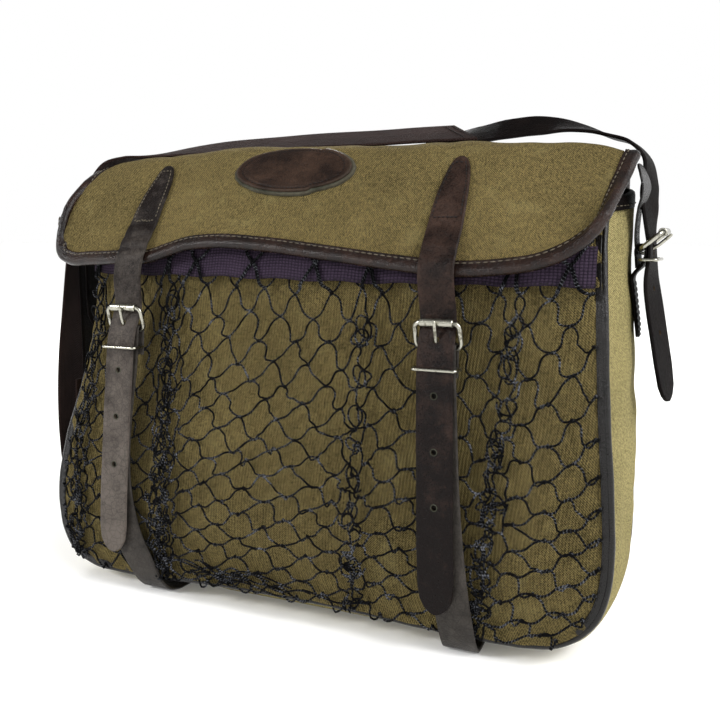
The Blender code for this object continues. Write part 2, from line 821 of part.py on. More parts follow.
def build_lower_straps():
    for side, rows in LOWER_STRAPS.items():
        rows = array(rows)
        bar = rows[0]
        behind = [bar + (0, 2.3, -19), bar + (0, 3.0, -4)]
        for turn in (0, 35, 70, 110, 145, 180):
            a = math.radians(turn)
            behind.append(bar + (0, 3.2 * math.cos(a), 3.2 * math.sin(a)))
        behind = np.concatenate([behind, np.full((8, 1), 0.8)], axis=1)
        fall = smooth(rows[1:], 19)
        fall = np.concatenate([fall, np.full((19, 1), WEB_HALF)], axis=1)
        path = np.concatenate([behind, fall])
        path[:, 2] = np.maximum(path[:, 2], 1.5)
        made = strip(f"lower_strap_{side}", path[:, :3], (1, 0, 0), 25, path[:, 3])
        slot = []
        for dz in (-8.5, 7):
            slot.append([bar + (sx, sy, dz) for sx, sy in ((-1.9, -9), (1.9, -9), (1.9, 1.9), (-1.9, 1.9))])
        cut(made, sweep(f"{side}_slot", slot))


def rounded_loop(half_width, low, high, corner):
    """A closed rounded rectangle as (across, up) pairs."""
    points = []
    for cx, cz, a0 in ((half_width - corner, high - corner, 0), (-half_width + corner, high - corner, 90), (-half_width + corner, low + corner, 180), (half_width - corner, low + corner, 270)):
        for a in (0, 45, 90):
            turn = math.radians(a0 + a)
            points.append((cx + corner * math.cos(turn), cz + corner * math.sin(turn)))
    return points


def build_buckle(name, heel, across, up, out, tongue_out=4.2):
    """A wire frame on its heel bar, a roller on the far bar and a tongue."""
    heel, across, up, out = array(heel), unit(across), unit(up), unit(out)
    loop = [heel + across * a + up * b for a, b in rounded_loop(15.2, 0.0, 17.5, 3.6)]
    rod(f"buckle_frame_{name}", loop, 1.55, closed=True)
    rings = []
    for r in (1.85, 2.8):
        ring = []
        for a in (-11.2, 11.2):
            centre = heel + up * 17.5 + across * a
            ring.append([centre + r * (math.cos(t) * up + math.sin(t) * out) for t in np.arange(8) * math.pi / 4])
        rings.append(ring)
    (i0, i1), (o0, o1) = rings
    sweep(f"buckle_roller_{name}", [i0, o0, o1, i1], closed=True)
    curl = [(-2.75, 0.6), (-2.0, 2.2), (0.4, 2.95), (3.4, 3.3)]
    rest = [(8.5, tongue_out), (15.0, tongue_out), (20.0, tongue_out - 0.2)]
    tongue = [heel + up * a + out * b for a, b in curl + rest]
    rod(f"buckle_tongue_{name}", tongue, [1.0, 1.1, 1.1, 1.2, 1.2, 1.2, 0.8])


def build_keeper(name, centre, across, out, half_width, half_depth):
    """The wire loop that holds the strap down below its buckle."""
    across, out = unit(across), unit(out)
    ring = [array(centre) + across * a + out * b for a, b in rounded_loop(half_width, -half_depth, half_depth, 1.6)]
    rod(f"keeper_{name}", ring, 1.05, resolution=0, closed=True)


def disc(name, surface, x, down, wide, high, lift, half, spokes=20):
    """A thin oval lying on the flap."""
    points = []
    for side in (1, -1):
        for share in (1.0, 0.55):
            for k in range(spokes):
                t = 2 * math.pi * k / spokes
                p, n = surface.at(x + wide / 2 * share * math.cos(t), down + high / 2 * share * math.sin(t))
                points.append(p + outward(n, p) * (lift + side * half))
        p, n = surface.at(x, down)
        points.append(p + outward(n, p) * (lift + side * half))
    size = 2 * spokes + 1
    faces = []
    for base, flip in ((0, False), (size, True)):
        for k in range(spokes):
            a, b = base + k, base + (k + 1) % spokes
            c, d = base + spokes + (k + 1) % spokes, base + spokes + k
            new = [(a, b, c), (a, c, d), (d, c, base + 2 * spokes)]
            faces += [f[::-1] if flip else f for f in new]
    for k in range(spokes):
        a, b = k, (k + 1) % spokes
        faces += [(a, size + b, b), (a, size + a, size + b)]
    solid(name, points, faces)


RIGHT_STRAP = [
    # x, y, z, across x, across y, across z
    (70, 40, 348.6, 0, 0.92, 0.38),
    (90, 39.5, 348.7, 0, 0.92, 0.38),
    (106, 38.5, 349.0, 0, 0.92, 0.36),
    (130, 36.5, 351.6, 0, 0.94, 0.32),
    (156, 35, 352.6, 0, 0.98, 0.2),
    (182, 34, 350.6, 0, 1, 0.1),
    (204, 34, 343.5, 0, 1, 0),
    (219, 35, 337.6, 0, 1, 0),
    (228.2, 34, 327.5, 0.05, 0.99, 0),
    (231.4, 29, 313, 0.2, 0.98, 0),
    (231.6, 22, 300, 0.28, 0.96, 0),
    (232.6, 18, 289, 0.2, 0.98, 0),
    (233.4, 17, 278, 0.1, 1, 0),
    (234.4, 17, 268, 0.05, 1, 0),
    (234.8, 16, 257, 0.1, 1, 0),
    (235.4, 13, 244, 0.22, 0.97, 0),
    (238.2, 9, 226, 0.28, 0.96, 0),
    (241.8, 6, 206, 0.28, 0.96, 0),
    (245.2, 4, 186, 0.28, 0.96, 0),
    (247.8, 3, 168, 0.28, 0.96, 0),
]

WEBBING = [
    # x, y, z, across x, across y, across z
    (92, 39.5, 352.2, 0, 0.92, 0.38),
    (75, 40, 352.0, 0, 0.92, 0.38),
    (20, 40, 351.2, 0, 0.92, 0.38),
    (-60, 40, 350.2, 0, 0.93, 0.36),
    (-130, 39, 348.0, 0, 0.94, 0.32),
    (-180, 37, 345.0, 0, 0.98, 0.18),
    (-205, 33, 342, 0, 1, 0.05),
    (-221, 28, 335.4, 0, 1, 0),
    (-232.8, 23, 320, -0.05, 1, 0),
    (-240.6, 16, 302, -0.1, 0.99, 0),
    (-244.5, 11, 284, -0.13, 0.99, 0),
    (-247.2, 9, 256, -0.13, 0.99, 0),
    (-252, 9, 215, -0.1, 1, 0),
    (-257, 9, 172, -0.08, 1, 0),
    (-259, 10, 130, -0.03, 1, 0),
    (-259, 12, 95, 0, 1, 0),
    (-257, 13, 74, 0, 1, 0),
    (-250.5, 13, 60, 0, 1, 0),
    (-243.0, 13, 66, 0, 1, 0),
    (-241.0, 13, 84, 0, 1, 0),
    (-241.0, 13, 110, 0, 1, 0),
    (-240.8, 13, 150, 0, 1, 0),
]

LEFT_STRAP = [
    # x, y, z, across x, across y, across z
    (-237.0, 12, 128, 0, 1, 0),
    (-237.2, 12, 160, 0, 1, 0),
    (-238.5, 12, 200, 0, 1, 0),
    (-240.0, 12, 240, 0, 1, 0),
    (-240.4, 12, 264, 0, 1, 0),
    (-240.0, 12, 281, 0, 1, 0),
    (-237.2, 12, 292, 0, 1, 0),
    (-234.0, 12, 298, 0, 1, 0),
    (-229.6, 12, 294.5, 0, 1, 0),
    (-227.6, 11.5, 288.5, 0, 1, 0),
    (-227.0, 11, 282, 0, 1, 0),
    (-228.3, 11, 275, 0, 1, 0),
    (-230.8, 11, 267, 0, 1, 0),
    (-231.4, 11, 256, 0, 1, 0),
    (-231.2, 11, 230, 0, 1, 0),
    (-231.0, 11, 196, 0, 1, 0),
]


def gusset_x(grid, side, y, z):
    """Where the gusset's middle surface stands at this y and z, on the left (-1) or right (1)."""
    heights, found = [], []
    for row in grid:
        if row[0, 0] * side > 150:
            heights.append(np.interp(y, row[:, 1], row[:, 2]))
            found.append(np.interp(y, row[:, 1], row[:, 0]))
    order = np.argsort(heights)
    return float(np.interp(z, array(heights)[order], array(found)[order]))


def build_side_tabs():
    """On each side a leather tab folded round a heel bar, with its buckle and keeper."""
    grid = gusset_grid()
    sides = (
        # name, side, y, x of the heel bar, lean of the frame outwards, keeper x, keeper half depth
        ("side_right", 1, 17.0, 228.8, 0.77, 233.9, 5.6),
        ("side_left", -1, 11.0, -224.5, 0.5, -229.6, 5.6),
    )
    for name, side, y, bar_x, lean, keeper_x, keeper_deep in sides:
        slant = gusset_x(grid, side, y + 12, 230) - gusset_x(grid, side, y - 12, 230)
        across = unit((slant, 24, 0))
        off = side * (2.9 if side > 0 else 3.4)
        lie = [(gusset_x(grid, side, y, z) + off, y, z) for z in (208, 214, 224, 238, 248)]
        bar = array((bar_x, y, 266.5))
        rows = [(*p, 1.2) for p in lie]
        rows += [(bar_x + side * 1.9, y, 258.5, 0.9)]
        for turn in (20, 55, 90, 125, 160):
            a = math.radians(turn)
            rows.append((bar[0] + side * 3.0 * math.cos(a), y, bar[2] + 3.0 * math.sin(a), 0.8))
        rows += [(bar[0] - side * 2.95, y, 260, 0.7), (bar[0] - side * 2.6, y, 254, 0.6)]
        path = array(rows)
        width = np.full(len(path), 26.0)
        width[0] = 16.0
        twist = np.where((path[:, 2] < 252)[:, None], across, (0, 1, 0))
        made = strip(f"tab_{name}", path[:, :3], twist, width, path[:, 3])
        slot = []
        for dz in (-8.0, 7.0):
            corners = ((-3.0, -2.2), (9, -2.2), (9, 2.2), (-3.0, 2.2))
            slot.append([bar + (side * sx, sy, dz) for sx, sy in corners])
        cut(made, sweep(f"{name}_slot", slot))
        rise = math.sqrt(1 - lean**2)
        build_buckle(name, bar, (0, 1, 0), (side * lean, 0, rise), (side * rise, 0, -lean))
        build_keeper(name, (keeper_x, y - 0.5, 259.6), (0, 1, 0), (1, 0, 0), 14.8, keeper_deep)


def tongue_slot(target, x, y, low, high):
    """The hole of a strap through which a side buckle's tongue passes."""
    slot = [(x - 5, y - 2.1), (x + 5, y - 2.1), (x + 5, y + 2.1), (x - 5, y + 2.1)]
    cut(target, sweep("slot", [[(a, b, low) for a, b in slot], [(a, b, high) for a, b in slot]]))


def build_shoulder_strap():
    path = smooth(WEBBING, 35)
    strip("shoulder_webbing", path[:, :3], path[:, 3:], 38, WEB_HALF)
    path = smooth(RIGHT_STRAP, 30)
    run = np.concatenate([[0], np.cumsum(np.linalg.norm(np.diff(path[:, :3], axis=0), axis=1))])
    end = run[-1]
    width = np.interp(run, [0, end - 24, end - 10, end - 3, end], [25, 25, 22, 14, 7])
    made = strip("billet_right", path[:, :3], path[:, 3:], width, STRAP_HALF)
    holes = [path[np.argmin(abs(path[:, 2] - z)), :3] for z in (240, 212)]
    punch(made, holes, (0.96, -0.28, 0.1), radius=1.8)
    tongue_slot(made, 234.4, 17, 261, 272)
    path = smooth(LEFT_STRAP, 34)
    run = np.concatenate([[0], np.cumsum(np.linalg.norm(np.diff(path[:, :3], axis=0), axis=1))])
    end = run[-1]
    width = np.interp(run, [0, end - 24, end - 10, end - 3, end], [25, 25, 22, 14, 7])
    made = strip("billet_left", path[:, :3], path[:, 3:], width, STRAP_HALF)
    tongue_slot(made, -230.6, 11, 261, 276.5)


def main():
    for old in list(bpy.data.objects):
        bpy.data.objects.remove(old, do_unlink=True)
    bag = bpy.data.objects.new("bag", None)
    bpy.context.scene.collection.objects.link(bag)
    build_panels()
    build_gusset()
    build_piping()
    grid, sections = build_flap()
    sweep("flap_binding", sections)
    build_net()
    build_band()
    surface = FlapSurface()
    build_upper_straps(surface)
    build_lower_straps()
    disc("patch_backing", surface, -14.5, 38.5, 99, 47, 2.6, 1.0)
    disc("oval_patch", surface, -14.5, 38.5, 95, 43.5, 4.7, 0.8)
    tilt, face = (0, -0.28, 0.96), (0, -0.96, -0.28)
    build_buckle("right", (114.6, -64.2, 203.2), (1, 0, 0), tilt, face)
    build_buckle("left", (-136.0, -63.2, 204.2), (1, 0, 0), tilt, face)
    build_keeper("right", (114.8, -69.9, 190.5), (1, 0, 0), (0, -1, 0), 14.8, 5.9)
    build_keeper("left", (-136.5, -68.9, 191.5), (1, 0, 0), (0, -1, 0), 14.8, 5.9)
    build_side_tabs()
    build_shoulder_strap()


main()
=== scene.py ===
"""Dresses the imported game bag: canvas walls, leather trim, a knotted net, buckles and a shoulder strap.

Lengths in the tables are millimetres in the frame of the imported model: +X to the bag's right, -Y out of
its front, +Z up, with the origin on the floor in the middle of the underside.
"""

from __future__ import annotations

import logging
import math
from dataclasses import dataclass, field
from enum import Enum
from typing import Any, Sequence

import bpy
import numpy as np
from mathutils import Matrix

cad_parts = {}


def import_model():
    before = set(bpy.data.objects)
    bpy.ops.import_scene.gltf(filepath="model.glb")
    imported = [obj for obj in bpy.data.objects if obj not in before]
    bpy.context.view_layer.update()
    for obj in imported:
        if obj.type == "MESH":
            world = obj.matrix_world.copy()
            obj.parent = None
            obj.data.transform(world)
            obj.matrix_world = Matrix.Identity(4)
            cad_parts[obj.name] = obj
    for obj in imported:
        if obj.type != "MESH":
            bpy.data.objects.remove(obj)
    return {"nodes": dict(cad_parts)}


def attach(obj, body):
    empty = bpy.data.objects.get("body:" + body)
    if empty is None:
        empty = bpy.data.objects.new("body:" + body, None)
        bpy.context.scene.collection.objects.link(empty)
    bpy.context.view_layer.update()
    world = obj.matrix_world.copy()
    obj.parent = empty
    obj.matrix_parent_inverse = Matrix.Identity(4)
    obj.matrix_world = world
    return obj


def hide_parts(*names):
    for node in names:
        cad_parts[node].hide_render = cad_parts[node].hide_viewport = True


log = logging.getLogger("game_bag")

MM = 0.001
UV = "cloth"
EDGE = "edge"
Grid = np.ndarray
Made = bpy.types.Object
Spot = Sequence[float] | np.ndarray

# The line where front panel and gusset meet, from the top left round the bottom to the top right.
FRONT_SEAM = [
    # x, y, z
    (-200, -12, 298),
    (-199, -13, 270),
    (-200, -16, 235),
    (-203, -20, 200),
    (-208, -31, 155),
    (-215, -43, 110),
    (-219, -47, 80),
    (-219, -48, 55),
    (-214, -49, 36),
    (-203, -50, 21),
    (-185, -51, 13),
    (-160, -52, 11),
    (-120, -53, 12),
    (-80, -54, 15),
    (-20, -55, 17),
    (38, -55, 17),
    (96, -54, 14.5),
    (140, -53.5, 13.5),
    (172, -53, 14.5),
    (190, -53, 18),
    (205, -53, 27),
    (215, -54, 40),
    (221, -55, 58),
    (223, -55, 82),
    (222, -54, 115),
    (218, -48, 165),
    (214, -38, 230),
    (211, -27, 272),
    (210, -12, 298),
]

# How far forward its two upright sides stand against their height.
LEFT_SIDE = [(z, y) for _, y, z in FRONT_SEAM[:9]][::-1] + [(312, -3)]
RIGHT_SIDE = [(z, y) for _, y, z in FRONT_SEAM[21:]] + [(312, -2)]

# The same line at the back.
BACK_SEAM = [
    # x, y, z
    (-212, 46, 306),
    (-214, 49, 270),
    (-215, 51, 235),
    (-216, 52, 200),
    (-217, 54, 155),
    (-218, 55, 110),
    (-218, 56, 80),
    (-217, 56, 55),
    (-213, 56, 36),
    (-203, 56, 22),
    (-185, 56, 15),
    (-160, 56, 14),
    (-120, 56, 14),
    (-80, 57, 15),
    (-20, 57, 15),
    (38, 57, 15),
    (96, 57, 14),
    (140, 57, 14),
    (172, 56, 14),
    (190, 56, 17),
    (203, 56, 25),
    (212, 56, 38),
    (217, 56, 56),
    (218, 56, 80),
    (218, 55, 115),
    (217, 54, 165),
    (215, 51, 230),
    (214, 48, 275),
    (213, 46, 306),
]

# Height of the front panel's middle line against how far forward it stands.
FRONT_MIDDLE = [
    # z, y
    (0, -56),
    (20, -58),
    (60, -61.5),
    (120, -60.5),
    (180, -54.5),
    (210, -51),
    (235, -49.5),
    (262, -44.5),
    (286, -31.5),
    (303, -14),
    (312, -4),
]

# The same for the back panel, at its middle and at its sides.
BACK_FORM = [
    # z, middle y, side y
    (0, 57.0, 56.0),
    (40, 59.5, 56.0),
    (150, 58.5, 54.0),
    (240, 54.0, 51.0),
    (306, 46.0, 45.0),
    (316, 44.0, 43.5),
]

# The flap's lower edge, from the left corner to the right corner.
FLAP_EDGE = [
    # x, y, z
    (-217, -42, 286),
    (-218, -46, 271),
    (-214, -49, 260),
    (-203, -51, 255),
    (-180, -54, 255),
    (-145, -58, 256.5),
    (-119, -59, 257.5),
    (-103, -59, 262),
    (-85, -59, 267),
    (-64, -60, 269),
    (-20, -60, 267),
    (34, -61, 261),
    (86, -62, 255),
    (122, -62, 252),
    (152, -61, 253.5),
    (180, -58, 258.5),
    (197, -54, 267),
    (208, -51, 277),
    (215, -47, 288),
]

# Height of the flap's top line, where it turns from the back to the front.
FLAP_TOP = [
    # x, z
    (-218, 328),
    (-202, 334.5),
    (-179, 338),
    (-140, 340),
    (-63, 342.5),
    (0, 342),
    (121, 339),
    (192, 335.5),
    (205, 333),
    (215, 330),
    (224, 327.5),
]

# The flap's way down the front, as shares of the run from the top line to the lower edge.
FLAP_FALL = [
    # middle y, middle z, left y, left z, right y, right z
    (0.00, 0.00, 0.00, 0.00, 0.00, 0.00),
    (0.17, 0.04, 0.14, 0.04, 0.10, 0.09),
    (0.32, 0.14, 0.30, 0.13, 0.22, 0.24),
    (0.44, 0.27, 0.48, 0.26, 0.38, 0.41),
    (0.58, 0.42, 0.66, 0.42, 0.56, 0.58),
    (0.74, 0.61, 0.83, 0.62, 0.72, 0.73),
    (0.88, 0.81, 0.94, 0.82, 0.87, 0.87),
    (1.00, 1.00, 1.00, 1.00, 1.00, 1.00),
]

# The flap's way down the back.
FLAP_BACK = [
    # y, share of the drop to the sewn edge, how far the side edge draws in
    (56.0, 1.00, 13),
    (54.5, 0.72, 13),
    (49.0, 0.38, 12),
    (37.0, 0.13, 10),
    (23.0, 0.03, 5),
]
FLAP_SEWN_Z = 292.0
FLAP_TOP_Y = 10.0

# Half the width at which a panel meets its seam.
PANEL_HALF = 216.0

# How far each side of the gusset swells out between its seams.
GUSSET_LOBE = [
    # z, left, right
    (20, 3.0, 4.0),
    (42, 4.0, 5.0),
    (109, 5.0, 6.0),
    (171, 6.0, 9.0),
    (214, 6.0, 9.5),
    (239, 6.0, 7.0),
    (271, 6.0, 8.5),
    (306, 6.0, 9.0),
]

# The front straps on their way down from the flap's edge.
UPPER_FALL = {
    # x, y, z
    "right": [
        (113.6, -67.6, 241),
        (114.0, -65.0, 229),
        (114.3, -64.6, 220),
        (114.5, -67.4, 212),
        (114.6, -70.7, 204),
        (114.7, -72.4, 195),
        (114.8, -73.0, 184),
        (115.0, -73.6, 165),
        (115.5, -74.3, 120),
        (116.0, -74.4, 75),
        (116.5, -73.0, 32),
    ],
    "left": [
        (-133.6, -66.4, 242),
        (-134.6, -64.0, 230),
        (-135.0, -63.6, 221),
        (-135.4, -66.4, 213),
        (-135.8, -69.7, 205),
        (-136.2, -71.4, 196),
        (-136.8, -72.0, 185),
        (-138.2, -72.3, 165),
        (-142.2, -71.8, 120),
        (-145.4, -71.4, 75),
        (-148.0, -70.2, 33),
    ],
}

# The heel bar, then the lower straps down the front and under the bag.
LOWER_FALL = {
    # x, y, z
    "right": [
        (114.6, -64.2, 203.2),
        (114.7, -67.6, 198),
        (115, -67.5, 182),
        (116.5, -68.8, 150),
        (118.5, -70.0, 110),
        (121, -70.6, 80),
        (125, -69.0, 42),
        (127, -65.0, 22),
        (127.3, -60.0, 11),
        (127, -53.5, 4),
        (126, -45, 1.5),
        (124, -20, 1.5),
        (122, 0, 1.5),
        (121, 24, 1.5),
    ],
    "left": [
        (-136.0, -63.2, 204.2),
        (-136.2, -66.6, 199),
        (-137.4, -66.5, 182),
        (-141.5, -66.9, 150),
        (-145, -67.2, 115),
        (-144, -67.4, 80),
        (-134, -66.5, 42),
        (-124, -64.0, 22),
        (-121, -59.5, 11),
        (-119.5, -52.5, 4),
        (-118, -43, 1.5),
        (-117, -20, 1.5),
        (-117, 0, 1.5),
        (-117, 24, 1.5),
    ],
}

# The leather strap that comes down on the right from the webbing.
RIGHT_BILLET = [
    # x, y, z, across x, across y, across z
    (70, 40, 348.6, 0, 0.92, 0.38),
    (90, 39.5, 348.7, 0, 0.92, 0.38),
    (106, 38.5, 349.6, 0, 0.84, 0.54),
    (130, 36.5, 352.2, 0, 0.78, 0.62),
    (156, 35, 353.0, 0, 0.82, 0.57),
    (182, 34, 350.6, 0, 0.97, 0.25),
    (204, 34, 343.5, 0, 1, 0),
    (219, 35, 337.6, 0, 1, 0),
    (228.2, 34, 327.5, 0.05, 0.99, 0),
    (231.4, 29, 313, 0.2, 0.98, 0),
    (231.6, 22, 300, 0.28, 0.96, 0),
    (232.6, 18, 289, 0.2, 0.98, 0),
    (233.4, 17, 278, 0.1, 1, 0),
    (234.4, 17, 268, 0.05, 1, 0),
    (234.8, 16, 257, 0.1, 1, 0),
    (235.4, 13, 244, 0.22, 0.97, 0),
    (238.2, 9, 226, 0.28, 0.96, 0),
    (241.8, 6, 206, 0.28, 0.96, 0),
    (245.2, 4, 186, 0.28, 0.96, 0),
    (247.8, 3, 168, 0.28, 0.96, 0),
]

# The webbing over the top and down the left side, where it turns up again behind itself.
WEBBING_RUN = [
    # x, y, z, across x, across y, across z
    (97, 39.5, 351.6, 0, 0.92, 0.38),
    (75, 40, 351.6, 0, 0.92, 0.38),
    (20, 40, 351.0, 0, 0.92, 0.38),
    (-60, 40, 350.2, 0, 0.93, 0.36),
    (-130, 39, 348.0, 0, 0.94, 0.32),
    (-180, 37, 345.0, 0, 0.98, 0.18),
    (-205, 33, 342, 0, 1, 0.05),
    (-221, 28, 335.4, 0, 1, 0),
    (-232.8, 23, 320, -0.05, 1, 0),
    (-240.6, 16, 302, -0.1, 0.99, 0),
    (-244.5, 11, 284, -0.13, 0.99, 0),
    (-247.2, 9, 256, -0.13, 0.99, 0),
    (-252, 9, 215, -0.1, 1, 0),
    (-257, 9, 172, -0.08, 1, 0),
    (-259, 10, 130, -0.03, 1, 0),
    (-259, 12, 95, 0, 1, 0),
    (-257, 13, 74, 0, 1, 0),
    (-250.5, 13, 60, 0, 1, 0),
    (-243.0, 13, 66, 0, 1, 0),
    (-241.0, 13, 84, 0, 1, 0),
    (-241.0, 13, 110, 0, 1, 0),
    (-240.8, 13, 150, 0, 1, 0),
]

# The left billet: sewn to the webbing below, up over the buckle and down again.
LEFT_BILLET = [
    # x, y, z, across x, across y, across z
    (-237.0, 12, 128, 0, 1, 0),
    (-237.2, 12, 160, 0, 1, 0),
    (-238.5, 12, 200, 0, 1, 0),
    (-240.0, 12, 240, 0, 1, 0),
    (-240.4, 12, 264, 0, 1, 0),
    (-240.0, 12, 281, 0, 1, 0),
    (-237.2, 12, 292, 0, 1, 0),
    (-234.0, 12, 298, 0, 1, 0),
    (-229.6, 12, 294.5, 0, 1, 0),
    (-227.6, 11.5, 288.5, 0, 1, 0),
    (-227.0, 11, 282, 0, 1, 0),
    (-228.3, 11, 275, 0, 1, 0),
    (-230.8, 11, 267, 0, 1, 0),
    (-231.4, 11, 256, 0, 1, 0),
    (-231.2, 11, 230, 0, 1, 0),
    (-231.0, 11, 196, 0, 1, 0),
]

# Where the net gathers into folds, and how much cord each holds.
NET_FOLDS = [
    # x at the top, x at the bottom, share of the spare meshes, half width, loops heaped on it
    (-187, -198, 0.24, 9.0, 14),
    (-101, -106, 0.36, 9.0, 20),
    (60, 52, 0.14, 4.0, 9),
    (168, 140, 0.20, 5.0, 11),
]


def array(rows: Any) -> Grid:
    """Returns the rows as an array of floats."""
    return np.array(rows, float)


def unit(v: Any) -> Grid:
    """Scales vectors to length one.

    Args:
        v: Vectors along the last axis.

    Returns:
        The unit vectors.
    """
    v = np.asarray(v, float)
    length = np.linalg.norm(v, axis=-1, keepdims=True)
    return v / np.where(length < 1e-12, 1.0, length)


def hermite(knots: Grid, values: Grid, at: Grid) -> Grid:
    """A smooth curve through values given at knots.

    Args:
        knots: Rising parameters, one for each row of values.
        values: The rows.
        at: Parameters at which the curve is wanted.

    Returns:
        One row for each parameter.
    """
    slope = np.gradient(values, knots, axis=0)
    i = np.clip(np.searchsorted(knots, at, side="right") - 1, 0, len(knots) - 2)
    width = knots[i + 1] - knots[i]
    t = np.clip((at - knots[i]) / width, 0, 1)
    shape = (-1,) + (1,) * (values.ndim - 1)
    t, width = t.reshape(shape), width.reshape(shape)
    h00 = 2 * t**3 - 3 * t**2 + 1
    h10 = t**3 - 2 * t**2 + t
    h01 = -2 * t**3 + 3 * t**2
    h11 = t**3 - t**2
    return h00 * values[i] + h10 * width * slope[i] + h01 * values[i + 1] + h11 * width * slope[i + 1]


def table(rows: Sequence, at: Any, column: int = 1) -> Grid:
    """One column of a table, smoothly interpolated at values of its first column.

    Args:
        rows: The table.
        at: Values of the first column.
        column: The column that is read.

    Returns:
        Values of that column, in the shape of at.
    """
    rows = array(rows)
    at = np.asarray(at, float)
    flat = hermite(rows[:, 0], rows[:, column : column + 1], np.clip(at.reshape(-1), rows[0, 0], rows[-1, 0]))
    return flat[:, 0].reshape(at.shape)


def smooth(rows: Any, count: int) -> Grid:
    """A smooth curve through the rows, evenly spaced along its first three columns.

    Args:
        rows: Points, with any further columns carried along.
        count: How many points are wanted.

    Returns:
        The points.
    """
    rows = array(rows)
    knots = length_along(rows)
    dense = hermite(knots, rows, np.linspace(0, knots[-1], 30 * len(rows)))
    run = length_along(dense)
    return sampled(np.linspace(0, run[-1], count), run, dense)


def length_along(path: Grid) -> Grid:
    """Returns the distance from the start to each point of a path."""
    return np.concatenate([[0], np.cumsum(np.linalg.norm(np.diff(path[:, :3], axis=0), axis=1))])


def sampled(at: Any, run: Grid, rows: Grid) -> Grid:
    """Returns rows read at given distances, where run is the distance of each row."""
    return np.stack([np.interp(at, run, rows[:, k]) for k in range(rows.shape[1])], axis=-1)


def distances(points: Grid, axis: int) -> Grid:
    """Returns how far along an axis each point of a grid lies from the grid's first line."""
    run = np.linalg.norm(np.diff(points, axis=axis), axis=2).cumsum(axis=axis)
    return np.concatenate([np.zeros_like(run.take([0], axis=axis)), run], axis=axis)


def ripples(a: Grid, b: Grid, seed: int, low: float, high: float, waves: int = 9) -> Grid:
    """A gentle uneven relief made of a few crossing waves.

    Args:
        a: First coordinate, in millimetres.
        b: Second coordinate, in millimetres.
        seed: Picks the waves.
        low: Shortest wavelength in millimetres.
        high: Longest wavelength in millimetres.
        waves: How many waves are added.

    Returns:
        Heights between about -1 and 1.
    """
    pick = np.random.default_rng(seed)
    height = np.zeros(np.broadcast(a, b).shape)
    for _ in range(waves):
        turn = pick.uniform(0, math.pi)
        wave = pick.uniform(low, high)
        phase = pick.uniform(0, 2 * math.pi)
        height = height + np.sin(2 * math.pi * (a * math.cos(turn) + b * math.sin(turn)) / wave + phase)
    return height / math.sqrt(waves) / 1.4


def inward_of(along: Grid) -> Grid:
    """Returns the directions towards the middle of a panel from the directions along its seam."""
    return unit(np.stack([-along[:, 2], np.zeros(len(along)), along[:, 0]], axis=1))


def inset(seam: Any, by: float) -> Grid:
    """Returns a seam line moved inwards by that many millimetres in the plane of its panel."""
    seam = array(seam)
    return seam + inward_of(np.gradient(seam, axis=0)) * by


def front_y(x: Any, z: Any) -> Grid:
    """Returns how far forward the front panel's middle surface stands at x and z."""
    x, z = np.broadcast_arrays(np.asarray(x, float), np.asarray(z, float))
    middle = table(FRONT_MIDDLE, z)
    share = np.clip(np.abs(x) / PANEL_HALF, 0, 1) ** 2.6
    edge = np.where(x < 0, table(LEFT_SIDE, z), table(RIGHT_SIDE, z))
    return middle + (edge - middle) * share


def back_y(x: Any, z: Any) -> Grid:
    """Returns how far back the back panel's middle surface stands at x and z."""
    middle, edge = table(BACK_FORM, z, 1), table(BACK_FORM, z, 2)
    share = np.clip(np.abs(x) / PANEL_HALF, 0, 1) ** 3
    return middle + (edge - middle) * share


def net_y(x: Any, z: Any) -> Grid:
    """Returns how far forward the net stands: clear of the panel, and close to it where it is sewn in."""
    share = np.clip(np.abs(x) / 205.0, 0, 1) ** 4
    z = np.asarray(z, float)
    foot = np.clip((50 - z) / 28, 0, 1)
    head = np.clip((z - 225) / 30, 0, 1)
    return front_y(x, z) - 7.2 + 3.2 * np.maximum(np.maximum(share, foot), 0.9 * head)


def panel_plan(seam: Any, columns: int, rows: int, top: float) -> Grid:
    """A grid of x and z inside a U-shaped seam, closed at the top by a straight line.

    Args:
        seam: The seam's points.
        columns: Cells across.
        rows: Cells from the bottom to the top.
        top: Height of the top line.

    Returns:
        An array of (rows + 1, columns + 1, 2).
    """
    seam = array(seam)
    half = len(seam) // 2
    low = int(np.argmin(seam[:half, 0] + seam[:half, 2]))
    high = half + int(np.argmin(-seam[half:, 0] + seam[half:, 2]))
    left = smooth(seam[: low + 1][::-1], rows * 4 + 1)
    bottom = smooth(seam[low : high + 1], columns * 4 + 1)
    right = smooth(seam[high:], rows * 4 + 1)
    left[-1, 2] = right[-1, 2] = top
    s = np.linspace(0, 1, columns + 1)[None, :, None]
    t = np.linspace(0, 1, rows + 1)[:, None, None]
    base = bottom[::4][None, :, [0, 2]]
    side_left, side_right = left[::4][:, None, [0, 2]], right[::4][:, None, [0, 2]]
    upper = side_left[-1:] * (1 - s) + side_right[-1:] * s
    sides = side_left * (1 - s) + side_right * s
    corners = (1 - t) * ((1 - s) * base[:, :1] + s * base[:, -1:]) + t * upper
    return (1 - t) * base + t * upper + sides - corners


def seam_pair(count: int) -> tuple[Grid, Grid]:
    """Returns the front and back seam lines with that many matching points."""
    both = smooth(np.concatenate([array(FRONT_SEAM), array(BACK_SEAM)], axis=1), count)
    return both[:, :3], both[:, 3:]


